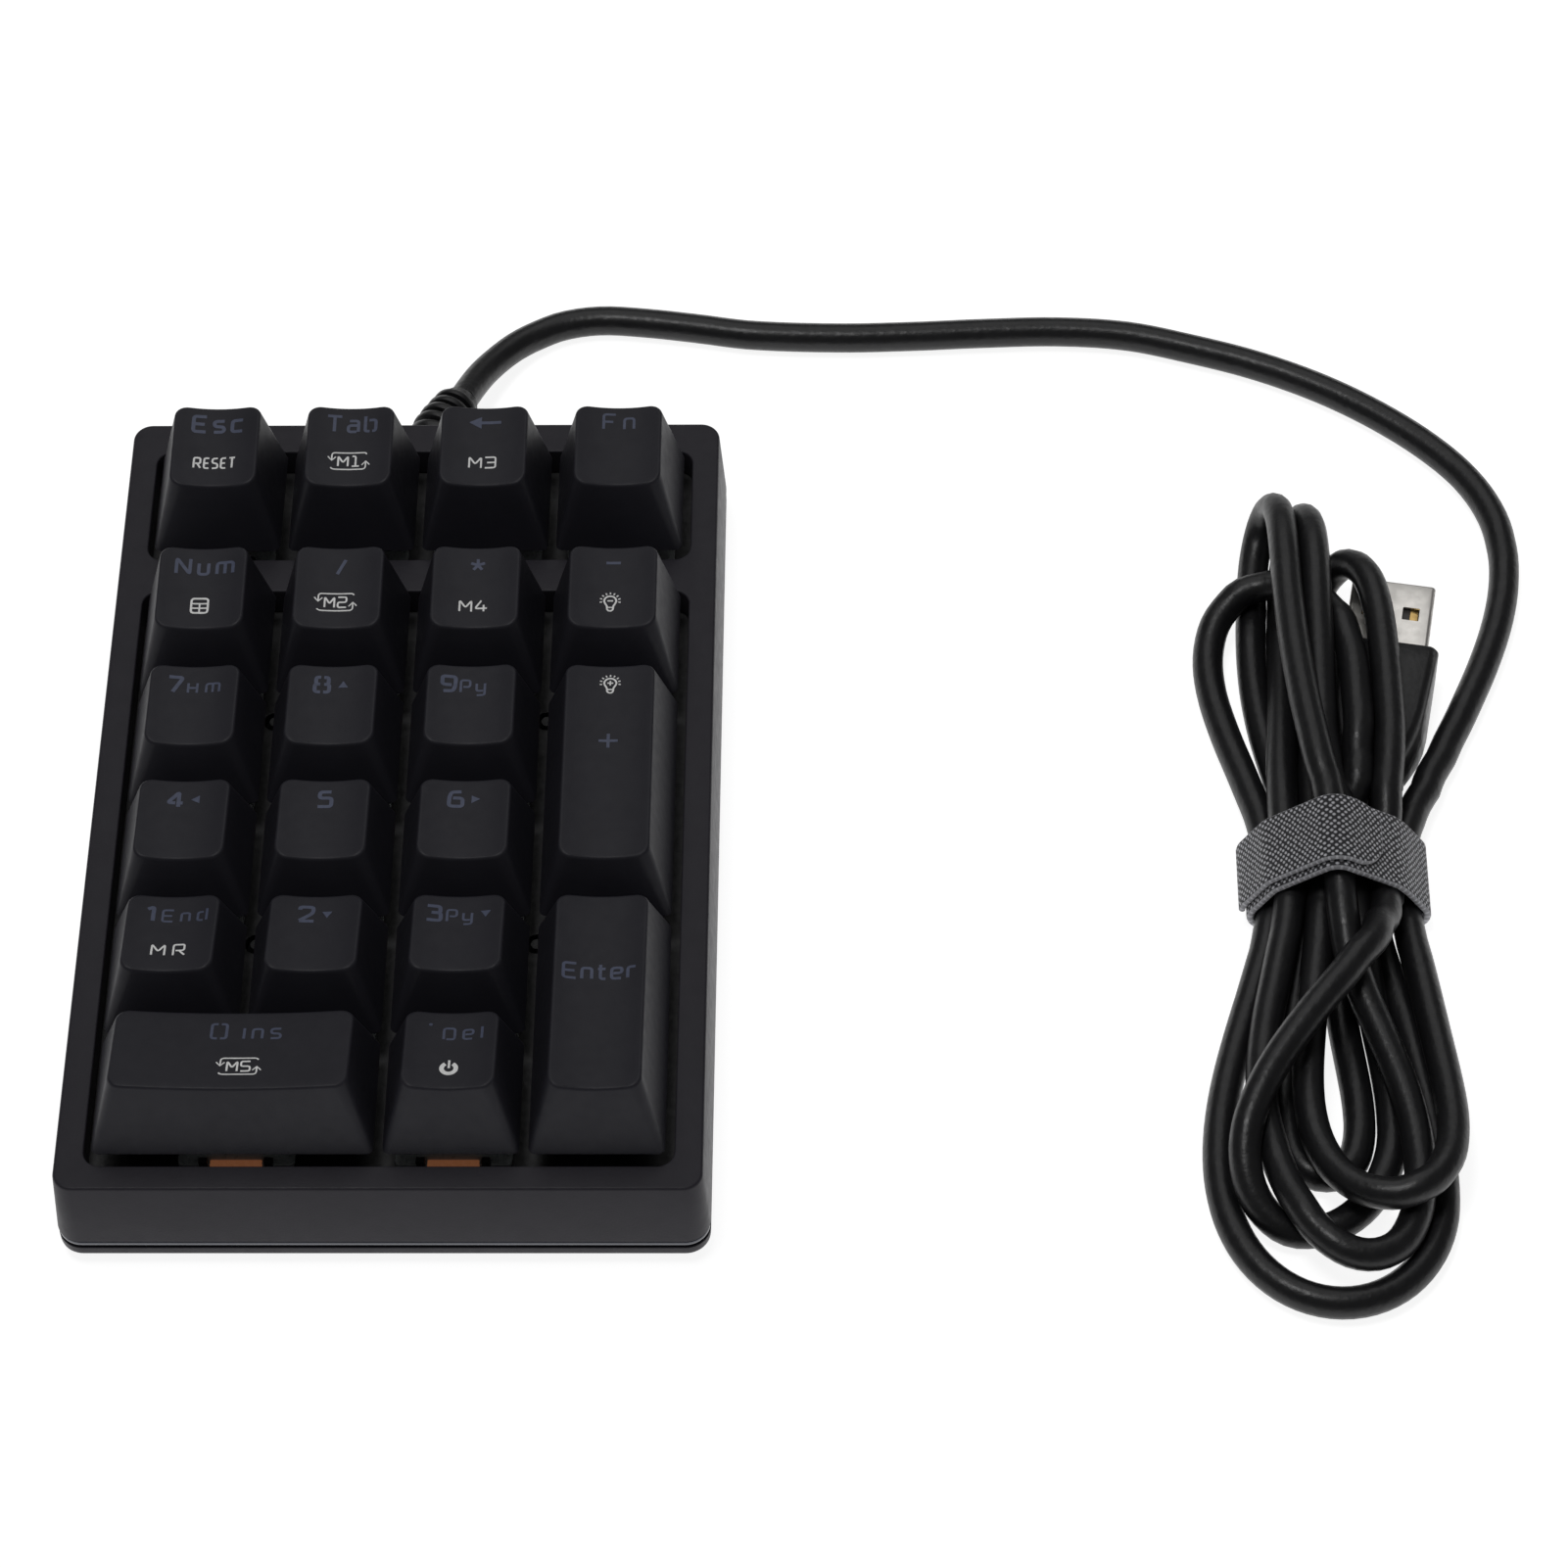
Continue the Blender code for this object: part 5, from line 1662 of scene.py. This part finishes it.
class KEYPAD_OT_switches(bpy.types.Operator):
    """Set a clear-topped switch with a brown stem under each keycap, and stabilise the long ones"""

    bl_idname = "keypad.switches"
    bl_label = "Switches"

    def execute(self, context):
        black, clear = shared("switch_black", switch_black), shared("switch_clear", switch_clear)
        housing, stem = switch_mesh(), stem_mesh()
        # Painted glow: an amber colour and a faint emission stand in for light shining through the brown
        # stem, not for a lamp.
        light = Finish("painted_stem_glow", (0.80, 0.34, 0.17), 0.25, Emission_Strength=0.12)
        light.set("Emission Color", (0.80, 0.30, 0.13, 1.0))
        light.rub(0.0005, 0.2, 0.35)
        for name, cap in caps().items():
            spot = (cap.place.x, cap.place.y, 0.0)
            add_piece(f"housing_{name}", housing, [black, clear, light.material], "case",
                      [f"switch_{name}"], spot)
            add_piece(f"stem_{name}", stem, [shared("stem_brown", stem_brown)], f"key_{name}", place=spot)
            if cap.wide or cap.deep:
                wire = shared("blackened_screw", screw_steel)
                add_piece(f"stabiliser_{name}", stabiliser_mesh(cap.deep), [black, wire], place=spot)
        return {"FINISHED"}


class KEYPAD_OT_case(bpy.types.Operator):
    """Build the top case, the bottom case and the light strip between them"""

    bl_idname = "keypad.case"
    bl_label = "Case"

    def execute(self, context):
        plastic = shared("moulded_case", case_plastic)
        cover = add_piece("cover", cover_mesh(), [plastic], stands_for=["top_case"])
        cut_away(cover, outlet_mesh())
        add_piece("base", base_mesh(), [plastic], stands_for=["bottom_case"])
        add_piece("strip", strip_mesh(), [strip_acrylic()], stands_for=["light_strip"])
        return {"FINISHED"}


class KEYPAD_OT_inside(bpy.types.Operator):
    """Give the plate and the board their finishes, and add the screws and the feet"""

    bl_idname = "keypad.inside"
    bl_label = "Plate, board, screws and feet"

    def execute(self, context):
        for name, finish in (("switch_plate", plate_steel()), ("circuit_board", board_resin())):
            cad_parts[name].data.materials.clear()
            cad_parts[name].data.materials.append(finish)
        steel = shared("blackened_screw", screw_steel)
        for number, (x, y) in enumerate(SCREW_PLACES, 1):
            add_piece(f"screw_{number}", screw_mesh(x, y), [steel],
                      stands_for=[f"case_screw_{number}"])
        rubber = foot_rubber()
        for name, y in (("rear", 0.055), ("front", -0.055)):
            add_piece(f"{name}_pad", foot_mesh(y), [rubber], stands_for=[f"{name}_foot"])
        return {"FINISHED"}


class KEYPAD_OT_stage(bpy.types.Operator):
    """Set the keypad on a white floor under soft lights"""

    bl_idname = "keypad.stage"
    bl_label = "Studio"

    def execute(self, context):
        bm = bmesh.new()
        corners = [bm.verts.new((x, y, 0.0)) for x, y in ((-4, -4), (4, -4), (4, 4), (-4, 4))]
        bm.faces.new(corners)
        floor = bpy.data.objects.new("floor", mesh_from("floor", bm))
        paper = Finish("floor_paper", look().floor_colour, 0.9, Specular_IOR_Level=0.0,
                       Emission_Strength=0.88)
        paper.set("Emission Color", (1.0, 1.0, 1.0, 1.0))
        paper.bump(paper.noise(0.002), 0.00002)
        floor.data.materials.append(paper.material)
        context.scene.collection.objects.link(floor)
        world = bpy.data.worlds.new("studio")
        world.use_nodes = True
        background = world.node_tree.nodes["Background"]
        background.inputs["Color"].default_value = (1.0, 1.0, 1.0, 1.0)
        background.inputs["Strength"].default_value = 0.10
        context.scene.world = world
        for name, place, size, power in (
            ("overhead light", (-0.15, -0.05, 1.3), 0.35, sizes().key_light),
            ("back light", (0.0, 0.9, 1.2), 1.2, sizes().key_light * 0.95),
        ):
            data = bpy.data.lights.new(name, "AREA")
            data.shape = "SQUARE"
            data.size = size
            data.energy = power
            light = bpy.data.objects.new(name, data)
            light.location = place
            light.rotation_euler = (-Vector(place)).to_track_quat("-Z", "Y").to_euler()
            context.scene.collection.objects.link(light)
        context.scene.view_settings.view_transform = "Standard"
        return {"FINISHED"}


class KEYPAD_PT_panel(bpy.types.Panel):
    """The keypad's steps and settings"""

    bl_label = "Keypad"
    bl_idname = "KEYPAD_PT_panel"
    bl_space_type = "VIEW_3D"
    bl_region_type = "UI"
    bl_category = "Keypad"

    def draw(self, context):
        for settings in (look(), sizes()):
            column = self.layout.column()
            for name in settings.bl_rna.properties.keys():
                if name not in ("rna_type", "name"):
                    column.prop(settings, name)
        for step in STEPS:
            self.layout.operator(step.bl_idname)


# In the order that they are run: the camera and the lead come first.
STEPS = (
    KEYPAD_OT_camera,
    KEYPAD_OT_plug,
    KEYPAD_OT_relief,
    KEYPAD_OT_strap,
    KEYPAD_OT_lead,
    KEYPAD_OT_keycaps,
    KEYPAD_OT_legends,
    KEYPAD_OT_switches,
    KEYPAD_OT_case,
    KEYPAD_OT_inside,
    KEYPAD_OT_stage,
)
SETTINGS = (("keypad_look", KeypadLook), ("keypad_sizes", KeypadSizes))


def register():
    for name, group in SETTINGS:
        bpy.utils.register_class(group)
        setattr(bpy.types.Scene, name, PointerProperty(type=group))
    for made in (*STEPS, KEYPAD_PT_panel):
        bpy.utils.register_class(made)


def unregister():
    for made in reversed((*STEPS, KEYPAD_PT_panel)):
        bpy.utils.unregister_class(made)
    for name, group in reversed(SETTINGS):
        delattr(bpy.types.Scene, name)
        bpy.utils.unregister_class(group)


def main():
    register()
    for step in STEPS:
        group, name = step.bl_idname.split(".")
        getattr(getattr(bpy.ops, group), name)()


if __name__ == "__main__":
    main()
